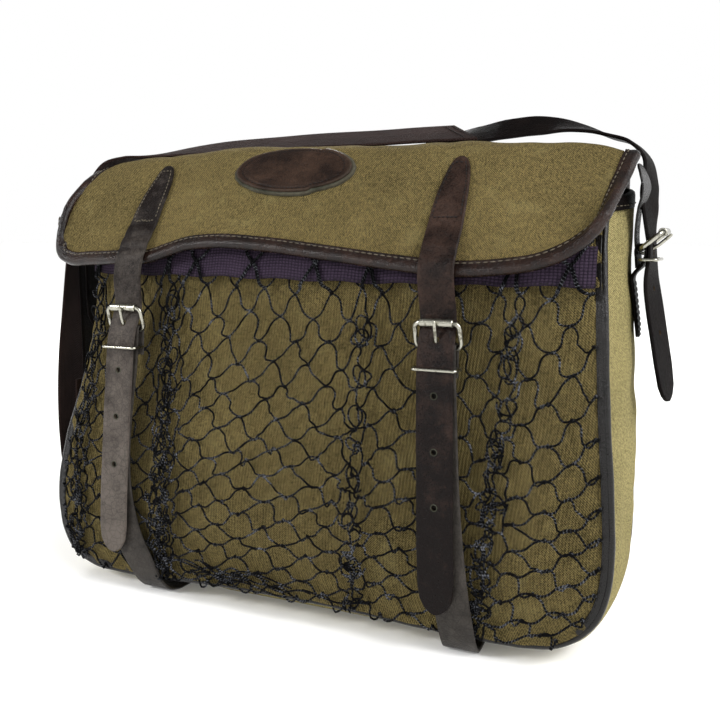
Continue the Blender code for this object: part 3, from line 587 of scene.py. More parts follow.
def gusset_grid(count: int, across: int) -> Grid:
    """The gusset's middle surface, bulging at the sides and sagging to the floor below.

    Args:
        count: Points along the seam.
        across: Cells from the front seam to the back seam.

    Returns:
        An array of (count, across + 1, 3).
    """
    front, back = seam_pair(count)
    along = np.gradient((front + back) / 2, axis=0)
    out = unit(np.stack([along[:, 2], np.zeros(count), -along[:, 0]], axis=1))
    down = (np.maximum(0.0, -out[:, 2]) ** 3)[:, None]
    a = (front + array((0, 3.4, 0)) - out * 0.8)[:, None]
    b = (back - array((0, 3.4, 0)) - out * 0.8)[:, None]
    v = np.linspace(0, 1, across + 1)[None, :]
    v = v + np.sin(2 * math.pi * v) * (0.06 * (1 - down) - 0.05 * down)
    flat = a * (1 - v[..., None]) + b * v[..., None]
    side = 1 - np.abs(2 * v - 1) ** 2.2
    sag = np.minimum(1.0, 1.14 * (1 - np.abs(2 * v - 1) ** 3.2))
    height = (a[..., 2] + b[..., 2]) / 2
    lobe = np.where(out[:, :1] > 0, table(GUSSET_LOBE, height, 2), table(GUSSET_LOBE, height, 1))
    flat = flat + out[:, None] * ((1 - down) * lobe * side)[..., None]
    floor = np.interp(np.abs(flat[..., 0]), [0, 66, 84, 160, 185], [1.0, 1.0, 4.5, 4.6, 6.0])
    flat[..., 2] -= down * sag * (height - floor)
    return flat


class FlapForm:
    """The flap's hanging shape, from its sewn edge at the back, over the top and down the front."""

    def __init__(self) -> None:
        """Measures the lower edge once and lays 145 runs of cloth down to it."""
        self.edge = smooth(FLAP_EDGE, 121)
        self.shares = np.linspace(0, 1, len(self.edge))
        runs = np.linspace(0, 1, 145)
        self.rows = [smooth(self.profile(u)[len(FLAP_BACK) - 2 :], 81) for u in runs]

    def profile(self, u: float) -> Grid:
        """One run of cloth from back to front.

        Args:
            u: Share of the way along the lower edge.

        Returns:
            Thirteen points.
        """
        e = sampled(u, self.shares, self.edge)
        ends = [float(np.interp(x, self.edge[20:105, 0], self.shares[20:105])) for x in (-165, 160)]
        x_top = float(np.interp(u, [0, ends[0], ends[1], 1], [-217, -165, 160, 224]))
        if ends[0] < u < ends[1]:
            x_top = float(e[0])
        z_top = float(table(FLAP_TOP, x_top))
        fall = array(FLAP_FALL)
        left = np.clip((-x_top - 150) / 60, 0, 1)
        right = np.clip((x_top - 150) / 60, 0, 1)
        middle = 1 - left - right
        gy = fall[:, 0] * middle + fall[:, 2] * left + fall[:, 4] * right
        gz = fall[:, 1] * middle + fall[:, 3] * left + fall[:, 5] * right
        narrow = np.interp(x_top, [-217, -180, 180, 224], [-1, 0, 0, 1])
        drop = z_top - FLAP_SEWN_Z
        rows = [(x_top - narrow * draw, y, z_top - drop * share) for y, share, draw in FLAP_BACK]
        for a, b in zip(gy, gz):
            y = FLAP_TOP_Y + (e[1] - FLAP_TOP_Y) * a
            rows.append((x_top + (e[0] - x_top) * a, y, z_top + (e[2] - z_top) * b))
        return array(rows)

    def share_at(self, x: float) -> float:
        """Returns the share of the way along the lower edge at which x is reached."""
        inner = slice(12, 108)
        return float(np.interp(x, self.edge[inner, 0], self.shares[inner]))

    def run_at(self, u: float) -> tuple[Grid, Grid, float]:
        """One run of cloth with its measured length.

        Args:
            u: Share of the way along the lower edge.

        Returns:
            The points, the distance to each of them and the distance at which the top line lies.
        """
        k = float(np.clip(u * 144, 0, 143.999))
        i, f = int(k), k - int(k)
        row = self.rows[i] * (1 - f) + self.rows[i + 1] * f
        run = length_along(row)
        return row, run, float(run[int(np.argmin(abs(row[:, 1] - FLAP_TOP_Y)))])

    def point(self, u: float, down: float) -> Grid:
        """The point at that share of the edge and that distance down from the top line."""
        row, run, start = self.run_at(u)
        at = start + down
        p = sampled(at, run, row)
        over = max(0.0, at - float(run[-1]))
        return p + unit(row[-1] - row[-3]) * over

    def at(self, x: float, down: float) -> tuple[Grid, Grid]:
        """A place on the flap by x and by distance down from the top line.

        Args:
            x: Place across.
            down: Distance down the front.

        Returns:
            The point and the outward normal.
        """
        u = self.share_at(x)
        p = self.point(u, down)
        along = self.point(min(1, u + 0.01), down) - self.point(max(0, u - 0.01), down)
        fall = self.point(u, down + 1.5) - self.point(u, down - 1.5)
        n = unit(np.cross(fall, along))
        return p, n if float(np.dot(n, p - array((0, 20, 240)))) > 0 else -n

    def lifted(self, x: float, down: float, lift: float) -> Grid:
        """Returns a point that stands off the flap by lift."""
        p, n = self.at(x, down)
        return p + n * lift

    def length(self, x: float) -> float:
        """Returns how far down the front the flap's edge lies at x."""
        _, run, start = self.run_at(self.share_at(x))
        return float(run[-1]) - start


def spots_of(mesh: bpy.types.Mesh) -> Grid:
    """Returns a mesh's vertices as an array of (n, 3), in metres."""
    flat = np.empty(len(mesh.vertices) * 3)
    mesh.vertices.foreach_get("co", flat)
    return flat.reshape(-1, 3)


def linked(mesh: bpy.types.Mesh) -> Made:
    """Returns a new smooth object of the mesh, named after it and put into the scene."""
    mesh.polygons.foreach_set("use_smooth", [True] * len(mesh.polygons))
    made = bpy.data.objects.new(mesh.name, mesh)
    bpy.context.scene.collection.objects.link(made)
    return made


class Maker:
    """Turns arrays of points into finished meshes."""

    @staticmethod
    def alone(made: Made) -> None:
        """Makes one object the only selected and active one."""
        bpy.ops.object.select_all(action="DESELECT")
        made.select_set(True)
        bpy.context.view_layer.objects.active = made

    def named(self, name: str) -> Made:
        """Returns the object that an operator has just added, under its new name."""
        made = bpy.context.active_object
        made.name = name
        made.data.name = name
        return made

    def grid(self, name: str, points: Grid, flip: bool = False, wrap: bool = False) -> Made:
        """A grid of quads through the points, with a map of true lengths.

        Args:
            name: The object's name.
            points: An array of (n, m, 3) in millimetres.
            flip: Whether to turn the faces over.
            wrap: Whether the second direction closes on itself.

        Returns:
            The object.
        """
        if wrap:
            points = np.concatenate([points, points[:, :1]], axis=1)
        n, m = points.shape[:2]
        bpy.ops.object.select_all(action="DESELECT")
        bpy.ops.mesh.primitive_grid_add(x_subdivisions=n - 1, y_subdivisions=m - 1, size=2.0)
        made = self.named(name)
        mesh = made.data
        flat = spots_of(mesh)
        i = np.rint((flat[:, 0] + 1) / 2 * (n - 1)).astype(int)
        j = np.rint((flat[:, 1] + 1) / 2 * (m - 1)).astype(int)
        mesh.vertices.foreach_set("co", (points[i, j] * MM).reshape(-1))
        u, v = distances(points, 0) * MM, distances(points, 1) * MM
        if not wrap:
            u = u - u[n // 2 : n // 2 + 1]
        self.map(mesh, np.stack([u, v], axis=2)[i, j])
        if flip:
            mesh.flip_normals()
        mesh.update()
        return made

    @staticmethod
    def map(mesh: bpy.types.Mesh, spots: Grid) -> None:
        """Writes one map position for each vertex into every corner that uses it.

        Args:
            mesh: The mesh.
            spots: An array of (vertices, 2).
        """
        for old in list(mesh.uv_layers):
            mesh.uv_layers.remove(old)
        layer = mesh.uv_layers.new(name=UV)
        corner = np.empty(len(mesh.loops), dtype=np.int32)
        mesh.loops.foreach_get("vertex_index", corner)
        layer.data.foreach_set("uv", spots[corner].reshape(-1))

    @staticmethod
    def mark(made: Made, values: Grid) -> None:
        """Stores each vertex's distance from the nearest cut edge, in metres, for the leather to read."""
        made.data.attributes.new(EDGE, "FLOAT", "POINT").data.foreach_set("value", np.asarray(values, float))

    def without_pale_rim(self, made: Made) -> Made:
        """Marks a whole piece as far from any cut edge, so that it gets none of the pale rim of wear and
        painted highlight.
        """
        self.mark(made, np.full(len(made.data.vertices), 0.01))
        return made

    def weld(self, made: Made) -> Made:
        """Merges doubled points and turns the faces outwards."""
        self.alone(made)
        bpy.ops.object.mode_set(mode="EDIT")
        bpy.ops.mesh.select_all(action="SELECT")
        bpy.ops.mesh.remove_doubles(threshold=0.000002)
        bpy.ops.mesh.normals_make_consistent(inside=False)
        bpy.ops.object.mode_set(mode="OBJECT")
        return made

    def shade(self, made: Made, degrees: float = 50.0) -> Made:
        """Shades smoothly except over sharp edges."""
        self.alone(made)
        bpy.ops.object.shade_smooth_by_angle(angle=math.radians(degrees))
        return made

    def thicken(self, made: Made, thick: float, inner_slot: int = 0) -> Made:
        """Gives a sheet its thickness, half on each side.

        Args:
            made: The sheet.
            thick: Thickness in millimetres.
            inner_slot: How many slots further on the inner side's finish stands.

        Returns:
            The same object.
        """
        self.alone(made)
        shell = made.modifiers.new("thickness", "SOLIDIFY")
        shell.thickness = thick * MM
        shell.offset = 0.0
        shell.material_offset = inner_slot
        bpy.ops.object.modifier_apply(modifier=shell.name)
        return made

    def loft(self, name: str, rings: Grid, closed: bool = False) -> Made:
        """A closed body through rings of points.

        Args:
            name: The object's name.
            rings: An array of (n, m, 3) in millimetres.
            closed: Whether the last ring meets the first; otherwise both ends are capped.

        Returns:
            The object.
        """
        rings = np.concatenate([rings, rings[:1]], axis=0) if closed else cap_rings(rings)
        return self.shade(self.weld(self.grid(name, rings, wrap=True)))

    def tube(self, name: str, path: Grid, radius: Any, sides: int = 12, closed: bool = False) -> Made:
        """A round rod along a path.

        Args:
            name: The object's name.
            path: The points.
            radius: One radius or one for each point.
            sides: Corners of its section.
            closed: Whether the path is a loop.

        Returns:
            The object.
        """
        return self.loft(name, tube_rings(path, radius, sides, closed), closed)

    def strap(self, name: str, path: Grid, across: Any, width: Any, thick: Any, rows: int = 12) -> Made:
        """A flat strap with rounded edges.

        Args:
            name: The object's name.
            path: The points of its middle line.
            across: The direction across it, one or one for each point.
            width: Its width, one or one for each point.
            thick: Half its thickness, one or one for each point.
            rows: Cells from edge to edge.

        Returns:
            The object, with the distance from its nearer edge stored for the finish.
        """
        rings, edge = strap_rings(path, across, width, thick, rows)
        made = self.grid(name, cap_rings(rings), wrap=True)
        edge = np.concatenate([edge[:1], edge, edge[-1:]], axis=0)
        edge = np.concatenate([edge, edge[:, :1]], axis=1)
        self.mark(made, edge.T.reshape(-1))
        return self.shade(self.weld(made), 60)

    def join(self, name: str, pieces: Sequence[Made]) -> Made:
        """Joins objects into the first of them and names it."""
        bpy.ops.object.select_all(action="DESELECT")
        for piece in pieces:
            piece.select_set(True)
        bpy.context.view_layer.objects.active = pieces[0]
        bpy.ops.object.join()
        return self.named(name)

    def cut(self, made: Made, tools: Sequence[Made]) -> Made:
        """Cuts the tools out of an object and removes them.

        Args:
            made: The object.
            tools: The cutting bodies.

        Returns:
            The same object.
        """
        for tool in tools:
            self.alone(made)
            boolean = made.modifiers.new("cut", "BOOLEAN")
            boolean.operation = "DIFFERENCE"
            boolean.solver = "EXACT"
            boolean.object = tool
            bpy.ops.object.modifier_apply(modifier=boolean.name)
            bpy.data.objects.remove(tool, do_unlink=True)
        return made

    def drill(self, centre: Spot, axis: Spot, radius: float, long: float = 12.0) -> Made:
        """A round cutting tool.

        Args:
            centre: Its middle.
            axis: Its direction.
            radius: Its radius.
            long: Its length.

        Returns:
            The tool.
        """
        d = unit(axis)
        ends = array([centre - d * long / 2, centre + d * long / 2])
        return self.tube("drill", ends, radius, 20)

    def copies(self, name: str, seed: Made, places: Grid, turns: Grid, sizes: Grid | None = None) -> Made:
        """One mesh holding a copy of the seed at each place.

        Args:
            name: The object's name.
            seed: The modelled piece, which is removed.
            places: Points in millimetres.
            turns: Rotation matrices of (n, 3, 3) whose columns are the copy's own axes.
            sizes: Factors for each copy's own axes, (n, 3).

        Returns:
            The object.
        """
        mesh = seed.data
        spots = spots_of(mesh)[None]
        if sizes is not None:
            spots = spots * sizes[:, None, :]
        moved = np.einsum("nij,nkj->nki", turns, np.broadcast_to(spots, (len(places), *spots.shape[1:])))
        moved = moved + places[:, None] * MM
        faces = [list(face.vertices) for face in mesh.polygons]
        size = len(mesh.vertices)
        every = [[v + k * size for v in face] for k in range(len(places)) for face in faces]
        new = bpy.data.meshes.new(name)
        new.from_pydata(moved.reshape(-1, 3).tolist(), [], every)
        if mesh.uv_layers:
            flat = np.empty(len(mesh.loops) * 2)
            mesh.uv_layers[0].data.foreach_get("uv", flat)
            new.uv_layers.new(name=UV).data.foreach_set("uv", np.tile(flat, len(places)))
        bpy.data.objects.remove(seed, do_unlink=True)
        return linked(new)

    def stitches(self, name: str, path: Grid, normals: Grid, pitch: float, long: float, thick: float) -> Made:
        """A row of sewn stitches lying along a path.

        Args:
            name: The object's name.
            path: The line of the seam, on the surface.
            normals: The surface's outward direction, one or one for each point.
            pitch: Distance from one stitch to the next.
            long: Length of one stitch.
            thick: Thickness of the thread.

        Returns:
            The object.
        """
        run = length_along(path)
        at = np.arange(pitch / 2, run[-1], pitch)
        places = sampled(at, run, path)
        x = unit(sampled(at + 0.4, run, path) - sampled(at - 0.4, run, path))
        up = sampled(at, run, np.broadcast_to(normals, path.shape))
        y = unit(np.cross(unit(up), x))
        z = np.cross(x, y)
        bpy.ops.object.select_all(action="DESELECT")
        bpy.ops.mesh.primitive_uv_sphere_add(segments=8, ring_count=6, radius=0.5 * MM)
        seed = self.named("stitch")
        pick = np.random.default_rng(len(at))
        sizes = array((long, thick, thick)) * pick.uniform(0.86, 1.12, (len(at), 1))
        return self.copies(name, seed, places + z * thick * 0.12, np.stack([x, y, z], axis=2), sizes)


def tube_rings(path: Grid, radius: Any, sides: int, closed: bool = False) -> Grid:
    """Rings of a round rod, carried along its path without twisting.

    Args:
        path: The points.
        radius: One radius or one for each point.
        sides: Corners of the section.
        closed: Whether the path is a loop.

    Returns:
        An array of (points, sides, 3).
    """
    path = array(path)
    count = len(path)
    if closed:
        along = unit(np.roll(path, -1, axis=0) - np.roll(path, 1, axis=0))
    else:
        along = unit(np.gradient(path, axis=0))
    side = np.empty_like(path)
    start = array((0, 0, 1.0)) if abs(along[0, 2]) < 0.8 else array((0, 1.0, 0))
    side[0] = unit(start - along[0] * np.dot(start, along[0]))
    for k in range(1, count):
        carried = side[k - 1] - along[k] * np.dot(side[k - 1], along[k])
        side[k] = unit(carried)
    other = np.cross(along, side)
    turn = np.zeros(count)
    if closed:
        last = side[-1] - along[0] * np.dot(side[-1], along[0])
        slip = math.atan2(float(np.dot(last, other[0])), float(np.dot(last, side[0])))
        turn = -slip * np.arange(count) / count
    a = np.arange(sides) * 2 * math.pi / sides
    a = a[None] + turn[:, None]
    r = np.broadcast_to(np.asarray(radius, float), (count,))[:, None, None]
    return path[:, None] + r * (np.cos(a)[..., None] * side[:, None] + np.sin(a)[..., None] * other[:, None])


def cap_rings(rings: Grid) -> Grid:
    """Returns the rings with one collapsed ring added at each end."""
    first, last = rings[:1].mean(axis=1, keepdims=True), rings[-1:].mean(axis=1, keepdims=True)
    m = rings.shape[1]
    return np.concatenate([np.repeat(first, m, axis=1), rings, np.repeat(last, m, axis=1)], axis=0)


def strap_rings(path: Grid, across: Any, width: Any, thick: Any, rows: int) -> tuple[Grid, Grid]:
    """Sections of a flat strap with softly rounded edges.

    Args:
        path: The middle line.
        across: Direction across, one or one for each point.
        width: Width, one or one for each point.
        thick: Half thickness, one or one for each point.
        rows: Cells from edge to edge.

    Returns:
        The rings and, for each of their points, the distance from the nearer edge.
    """
    path = array(path)[:, :3]
    n = len(path)
    along = unit(np.gradient(path, axis=0))
    w = np.broadcast_to(np.asarray(across, float), (n, 3))
    w = unit(w - along * np.sum(w * along, axis=1, keepdims=True))
    up = np.cross(along, w)
    half = np.broadcast_to(np.asarray(width, float), (n,)) / 2
    t = np.broadcast_to(np.asarray(thick, float), (n,))
    s = np.linspace(-1, 1, rows + 1)
    s = np.sign(s) * np.abs(s) ** 0.8
    a = half[:, None] * s[None]
    a = np.clip(a, -(half - 0.55 * t)[:, None], (half - 0.55 * t)[:, None])
    edge = half[:, None] - np.abs(a)
    rounding = np.clip(edge / (1.3 * t)[:, None], 0, 1)
    b = t[:, None] * (0.72 + 0.28 * np.sqrt(1 - (1 - rounding) ** 2))
    top = path[:, None] + w[:, None] * a[..., None] + up[:, None] * b[..., None]
    low = path[:, None] + w[:, None] * a[..., None] - up[:, None] * b[..., None]
    right = path + w * half[:, None]
    left = path - w * half[:, None]
    rings = np.concatenate([top, right[:, None], low[:, ::-1], left[:, None]], axis=1)
    zero = np.zeros((n, 1))
    return rings, np.concatenate([edge, zero, edge[:, ::-1], zero], axis=1)


class Wire:
    """A shader value that can be written with ordinary arithmetic."""

    def __init__(self, tree: Nodes, socket: bpy.types.NodeSocket) -> None:
        """Wraps a socket of the tree."""
        self.tree = tree
        self.socket = socket

    def math(self, operation: str, *others: Any, swap: bool = False) -> Wire:
        """A Math node that takes this value.

        Args:
            operation: The node's operation.
            others: The other operands.
            swap: Whether this value comes second.

        Returns:
            The result.
        """
        operands = [self, *others]
        if swap:
            operands = operands[::-1]
        inputs = dict(enumerate(operands))
        return self.tree.node("ShaderNodeMath", {"operation": operation}, inputs)

    def __add__(self, other: Any) -> Wire:
        """Returns the sum."""
        return self.math("ADD", other)

    def __radd__(self, other: Any) -> Wire:
        """Returns the sum, written the other way round."""
        return self.math("ADD", other)

    def __sub__(self, other: Any) -> Wire:
        """Returns the difference."""
        return self.math("SUBTRACT", other)

    def __rsub__(self, other: Any) -> Wire:
        """Returns the difference from a number."""
        return self.math("SUBTRACT", other, swap=True)

    def __mul__(self, other: Any) -> Wire:
        """Returns the product."""
        return self.math("MULTIPLY", other)

    def __rmul__(self, other: Any) -> Wire:
        """Returns the product, written the other way round."""
        return self.math("MULTIPLY", other)

    def sin(self) -> Wire:
        """Returns the sine."""
        return self.math("SINE")

    def abs(self) -> Wire:
        """Returns the absolute value."""
        return self.math("ABSOLUTE")

    def power(self, by: float) -> Wire:
        """Returns the value raised to a power."""
        return self.math("POWER", by)

    def step(self, low: float, high: float) -> Wire:
        """A soft step.

        Args:
            low: Value at which the result is 0.
            high: Value at which the result is 1.

        Returns:
            The result, from 0 to 1.
        """
        settings = {"interpolation_type": "SMOOTHSTEP"}
        inputs = {"Value": self, "From Min": low, "From Max": high, "To Min": 0.0, "To Max": 1.0}
        return self.tree.node("ShaderNodeMapRange", settings, inputs)


class Nodes:
    """A material's node tree while it is being wired."""

    def __init__(self, owner: bpy.types.Material | bpy.types.World) -> None:
        """Empties the owner's tree."""
        owner.use_nodes = True
        self.tree = owner.node_tree
        self.tree.nodes.clear()

    def node(
        self, kind: str, settings: dict[str, Any], inputs: dict[Any, Any], output: int | str = 0
    ) -> Wire:
        """Adds a node.

        Args:
            kind: The node's type.
            settings: Its properties, set before its inputs.
            inputs: Its inputs by name or place, each a number, a tuple or a Wire.
            output: The output that is wanted.

        Returns:
            That output.
        """
        node = self.tree.nodes.new(kind)
        for key, value in settings.items():
            setattr(node, key, value)
        for key, value in inputs.items():
            if isinstance(value, Wire):
                self.tree.links.new(value.socket, node.inputs[key])
            else:
                node.inputs[key].default_value = value
        return Wire(self, node.outputs[output])

    def place(self) -> Wire:
        """Returns the point in the bag's own space, in metres."""
        return self.node("ShaderNodeTexCoord", {}, {}, "Object")

    def cloth(self) -> Wire:
        """Returns the place on the cloth, in metres of its own length."""
        return self.node("ShaderNodeUVMap", {"uv_map": UV}, {})

    def stored(self, name: str) -> Wire:
        """Returns a number stored on the mesh."""
        return self.node("ShaderNodeAttribute", {"attribute_name": name}, {}, "Fac")

    def split(self, vector: Wire) -> tuple[Wire, Wire, Wire]:
        """Returns the three parts of a vector."""
        node = self.tree.nodes.new("ShaderNodeSeparateXYZ")
        self.tree.links.new(vector.socket, node.inputs[0])
        return Wire(self, node.outputs[0]), Wire(self, node.outputs[1]), Wire(self, node.outputs[2])

    def noise(self, at: Wire, scale: float, detail: float = 3.0, rough: float = 0.55) -> Wire:
        """Cloudy noise.

        Args:
            at: Where it is read.
            scale: Cells in a metre.
            detail: Octaves.
            rough: How strong the finer octaves are.

        Returns:
            Values around 0.5.
        """
        inputs = {"Vector": at, "Scale": scale, "Detail": detail, "Roughness": rough}
        return self.node("ShaderNodeTexNoise", {"noise_dimensions": "3D"}, inputs)

    def cells(self, at: Wire, scale: float) -> Wire:
        """Returns the distance to the edges of a pattern with that many cells in a metre."""
        settings = {"feature": "DISTANCE_TO_EDGE"}
        return self.node("ShaderNodeTexVoronoi", settings, {"Vector": at, "Scale": scale})

    def blend(self, share: Any, low: Any, high: Any) -> Wire:
        """A colour between two others.

        Args:
            share: 0 for the first, 1 for the second.
            low: The first colour.
            high: The second colour.

        Returns:
            The colour.
        """
        settings = {"data_type": "RGBA", "clamp_factor": True}
        return self.node("ShaderNodeMix", settings, {0: share, 6: low, 7: high}, 2)

    def bump(self, height: Wire, deep: float, strength: float = 1.0) -> Wire:
        """Returns a normal that follows a height given in the unit deep, in metres."""
        return self.node("ShaderNodeBump", {}, {"Height": height, "Distance": deep, "Strength": strength})

    def surface(self, fixed: dict[str, Any], wired: dict[str, Wire]) -> None:
        """Ends the tree with its shader.

        Args:
            fixed: Settings that are the same everywhere.
            wired: Inputs that vary.
        """
        shader = self.node("ShaderNodeBsdfPrincipled", {}, {**fixed, **wired})
        self.node_out("ShaderNodeOutputMaterial", shader)

    def node_out(self, kind: str, shader: Wire) -> None:
        """Joins a shader to an output node of the kind."""
        out = self.tree.nodes.new(kind)
        self.tree.links.new(shader.socket, out.inputs["Surface"])


def paint(hexa: str) -> tuple[float, float, float, float]:
    """Returns a colour written as six hexadecimal digits in linear values."""
    parts = [int(hexa[k : k + 2], 16) / 255 for k in (0, 2, 4)]
    r, g, b = (c / 12.92 if c <= 0.04045 else ((c + 0.055) / 1.055) ** 2.4 for c in parts)
    return r, g, b, 1.0


@dataclass(frozen=True)
class Finish:
    """What one kind of material looks like."""

    name: str

    def material(self) -> bpy.types.Material:
        """Returns the material, wired the first time it is asked for."""
        known = bpy.data.materials.get(self.name)
        if known is None:
            known = bpy.data.materials.new(self.name)
            self.wire(Nodes(known))
        return known

    def wire(self, nodes: Nodes) -> None:
        """Wires the finish; each kind does this in its own way."""
        raise NotImplementedError


@dataclass(frozen=True)
class Canvas(Finish):
    """Heavy cotton canvas: rounded warp and weft crossings, with painted shade in the weave's valleys, faded
    rubs and darker dirt.
    """

    light: str
    dark: str
    pitch: float = 1.55
    rub: float = 0.5
    relief: float = 0.0011
    rib: float = 0.0

    def wire(self, nodes: Nodes) -> None:
        """Wires the weave with its painted shade, the uneven dye and the rubbed places."""
        here = nodes.place()
        cloth = nodes.cloth()
        wander = nodes.noise(here, 60, 2.0)
        u, v, _ = nodes.split(cloth)
        per = 2 * math.pi / (self.pitch * MM)
        a = (u * per + wander * 1.6).sin()
        b = (v * per - wander * 1.4).sin()
        over = (a * b) * 0.5 + 0.5
        slub = nodes.node("ShaderNodeMapping", {}, {"Vector": cloth, "Scale": (1.0, 0.3, 1.0)})
        thread = nodes.noise(slub, 800, 2.0)
        weave = over * 0.7 + thread * 0.3
        grain = nodes.noise(here, 1050, 3.0, 0.7)
        cloud = nodes.noise(here, 14, 4.0, 0.6)
        stain = nodes.noise(here, 45, 5.0, 0.65)
        ribs = (v * (2 * math.pi / (2.3 * MM)) + wander * 1.2).sin() * self.rib
        # Painted shade: the weave's valleys, low in the bump, are painted darker and its crossings lighter.
        tone = (over - 0.5) * 1.15 + (cloud - 0.5) * 0.7 + (thread - 0.5) * 1.2 + (grain - 0.5) * 2.7 + 0.52
        tone = tone + ribs * 0.16
        colour = nodes.blend(tone, paint(self.dark), paint(self.light))
        worn = (stain - 0.52).step(0.02, 0.16) * self.rub
        colour = nodes.blend(worn * 0.35, colour, paint("8C8258"))
        height = weave + (grain - 0.5) * 0.5 + ribs * 0.3
        wired = {"Base Color": colour, "Normal": nodes.bump(height, self.relief)}
        nodes.surface({"Roughness": 0.94, "Specular IOR Level": 0.08}, wired)


@dataclass(frozen=True)
class Leather(Finish):
    """Bridle leather: pores, creases painted darker as shade, and edges that are paler, partly rubbed and
    partly a painted highlight; it can also be painted paler towards one height as a painted sheen.
    """

    base: str
    rub: str
    shine: float = 0.42
    crease: float = 1.0
    edge_wear_and_highlight: float = 0.8
    gloss: float = 0.1
    sheen_pivot_height: float = 0.0
    painted_sheen_slope: float = 0.0

    def wire(self, nodes: Nodes) -> None:
        """Wires the grain, the creases with their painted shade, the pale edges of wear and painted
        highlight, and the painted sheen by height.
        """
        here = nodes.place()
        bend = nodes.noise(here, 55, 4.0, 0.62)
        pore = nodes.cells(here, 1500)
        crack = nodes.cells(here, 210)
        fine = nodes.noise(here, 900, 4.0, 0.7)
        line = 1 - crack.step(0.0, 0.10)
        edge = nodes.stored(EDGE)
        # Pale rim along cut edges: partly rubbed wear, partly a painted highlight on the rounded edge.
        rim = 1 - (edge + (fine - 0.5) * 0.0009).step(0.0004, 0.0019)
        scuff = (nodes.noise(here, 160, 6.0, 0.75) - 0.5).step(0.06, 0.2)
        _, _, height = nodes.split(here)
        tone = (bend - 0.5) * 1.5 + (fine - 0.5) * 0.9 + scuff * 0.3
        # Painted sheen: the colour is made paler with height on one side of a pivot height, standing in for
        # the lamps' broad reflections on a strap.
        tone = tone + (self.sheen_pivot_height - height) * self.painted_sheen_slope
        colour = nodes.blend(tone + 0.22, paint(self.base), paint(self.rub))
        colour = nodes.blend(rim * self.edge_wear_and_highlight * 0.5, colour, paint("6E6050"))
        # Painted shade: the crease lines, sunk as grooves in the bump below, are also painted near black.
        colour = nodes.blend(line * 0.3 * self.crease, colour, paint("080605"))
        relief = bend * 1.6 * self.crease + pore.step(0.0, 0.25) * 0.12
        relief = relief - line * 0.25 * self.crease + fine * 0.35
        rough = (fine - 0.5) * 0.35 + scuff * 0.25 + self.shine
        wired = {"Base Color": colour, "Roughness": rough, "Normal": nodes.bump(relief, 0.0006, 0.75)}
        nodes.surface({"Specular IOR Level": self.gloss}, wired)


@dataclass(frozen=True)
class Webbing(Finish):
    """Woven tape with a small basket pattern."""

    light: str
    dark: str
    pitch: float = 2.2
    relief: float = 0.0005

    def wire(self, nodes: Nodes) -> None:
        """Wires the pattern and its gaps, which are painted dark as shade."""
        here = nodes.place()
        u, v, _ = nodes.split(nodes.cloth())
        per = math.pi / (self.pitch * MM)
        wander = nodes.noise(here, 90, 2.0)
        a = (u * per + wander * 0.9).sin()
        b = (v * per * 1.25 - wander * 0.7).sin()
        pad = (a * b).abs().power(0.6)
        twist = ((u + v) * (2 * math.pi / (0.62 * MM))).sin() * 0.5 + 0.5
        grain = nodes.noise(here, 1300, 3.0, 0.7)
        dust = nodes.noise(here, 30, 4.0, 0.6)
        # Painted shade: the gaps between the pads, low in the bump, are painted dark, and the twist's crowns
        # lighter.
        tone = pad * 0.62 + twist * 0.16 + (grain - 0.5) * 0.8 + (dust - 0.5) * 0.6
        colour = nodes.blend(tone, paint(self.dark), paint(self.light))
        height = pad + twist * 0.22 + grain * 0.3
        wired = {"Base Color": colour, "Normal": nodes.bump(height, self.relief)}
        nodes.surface({"Roughness": 0.9, "Specular IOR Level": 0.08}, wired)


@dataclass(frozen=True)
class Cord(Finish):
    """Twisted netting cord, nearly black, with pale fibres and painted highlights along the crowns of its
    strands.
    """

    light: str
    dark: str
    lay: float = 2.3

    def wire(self, nodes: Nodes) -> None:
        """Wires the strands that wind round the cord, with painted highlights on their crowns and pale
        flecks.
        """
        here = nodes.place()
        u, v, _ = nodes.split(nodes.cloth())
        wind = u * (2 * math.pi / (self.lay * MM)) + v * (2 * math.pi / (5.4 * MM))
        strand = wind.sin() * 0.5 + 0.5
        fluff = nodes.noise(here, 1500, 4.0, 0.75)
        patchy = nodes.noise(here, 120, 3.0, 0.6)
        # Partly painted highlight: the strands' crowns and the pale flecks stand in for glints along the
        # twist, and partly for the cord's own pale fibres.
        tone = strand.power(4.0) * 0.7 + (fluff - 0.5) * 1.5 + (patchy - 0.5) * 3.2 - 0.36
        colour = nodes.blend(tone, paint(self.dark), paint(self.light))
        height = strand.power(0.6) + (fluff - 0.5) * 0.5
        wired = {"Base Color": colour, "Normal": nodes.bump(height, 0.00028)}
        nodes.surface({"Roughness": 0.6, "Specular IOR Level": 0.05}, wired)


@dataclass(frozen=True)
class Metal(Finish):
    """Plated buckle wire with a little tarnish and fine scratches."""

    bright: str
    dull: str

    def wire(self, nodes: Nodes) -> None:
        """Wires the plating, the tarnish and the scratches."""
        here = nodes.place()
        stretched = nodes.node("ShaderNodeMapping", {}, {"Vector": here, "Scale": (1.0, 1.0, 6.0)})
        scratch = nodes.noise(stretched, 1500, 3.0, 0.7)
        tarnish = nodes.noise(here, 170, 5.0, 0.7)
        spot = (tarnish - 0.5).step(0.0, 0.14)
        colour = nodes.blend(spot * 0.7, paint(self.bright), paint(self.dull))
        rough = spot * 0.2 + (scratch - 0.5) * 0.16 + 0.24
        height = scratch * 0.35 + tarnish * 0.5
        wired = {"Base Color": colour, "Roughness": rough, "Normal": nodes.bump(height, 0.00009, 0.6)}
        nodes.surface({"Metallic": 1.0}, wired)


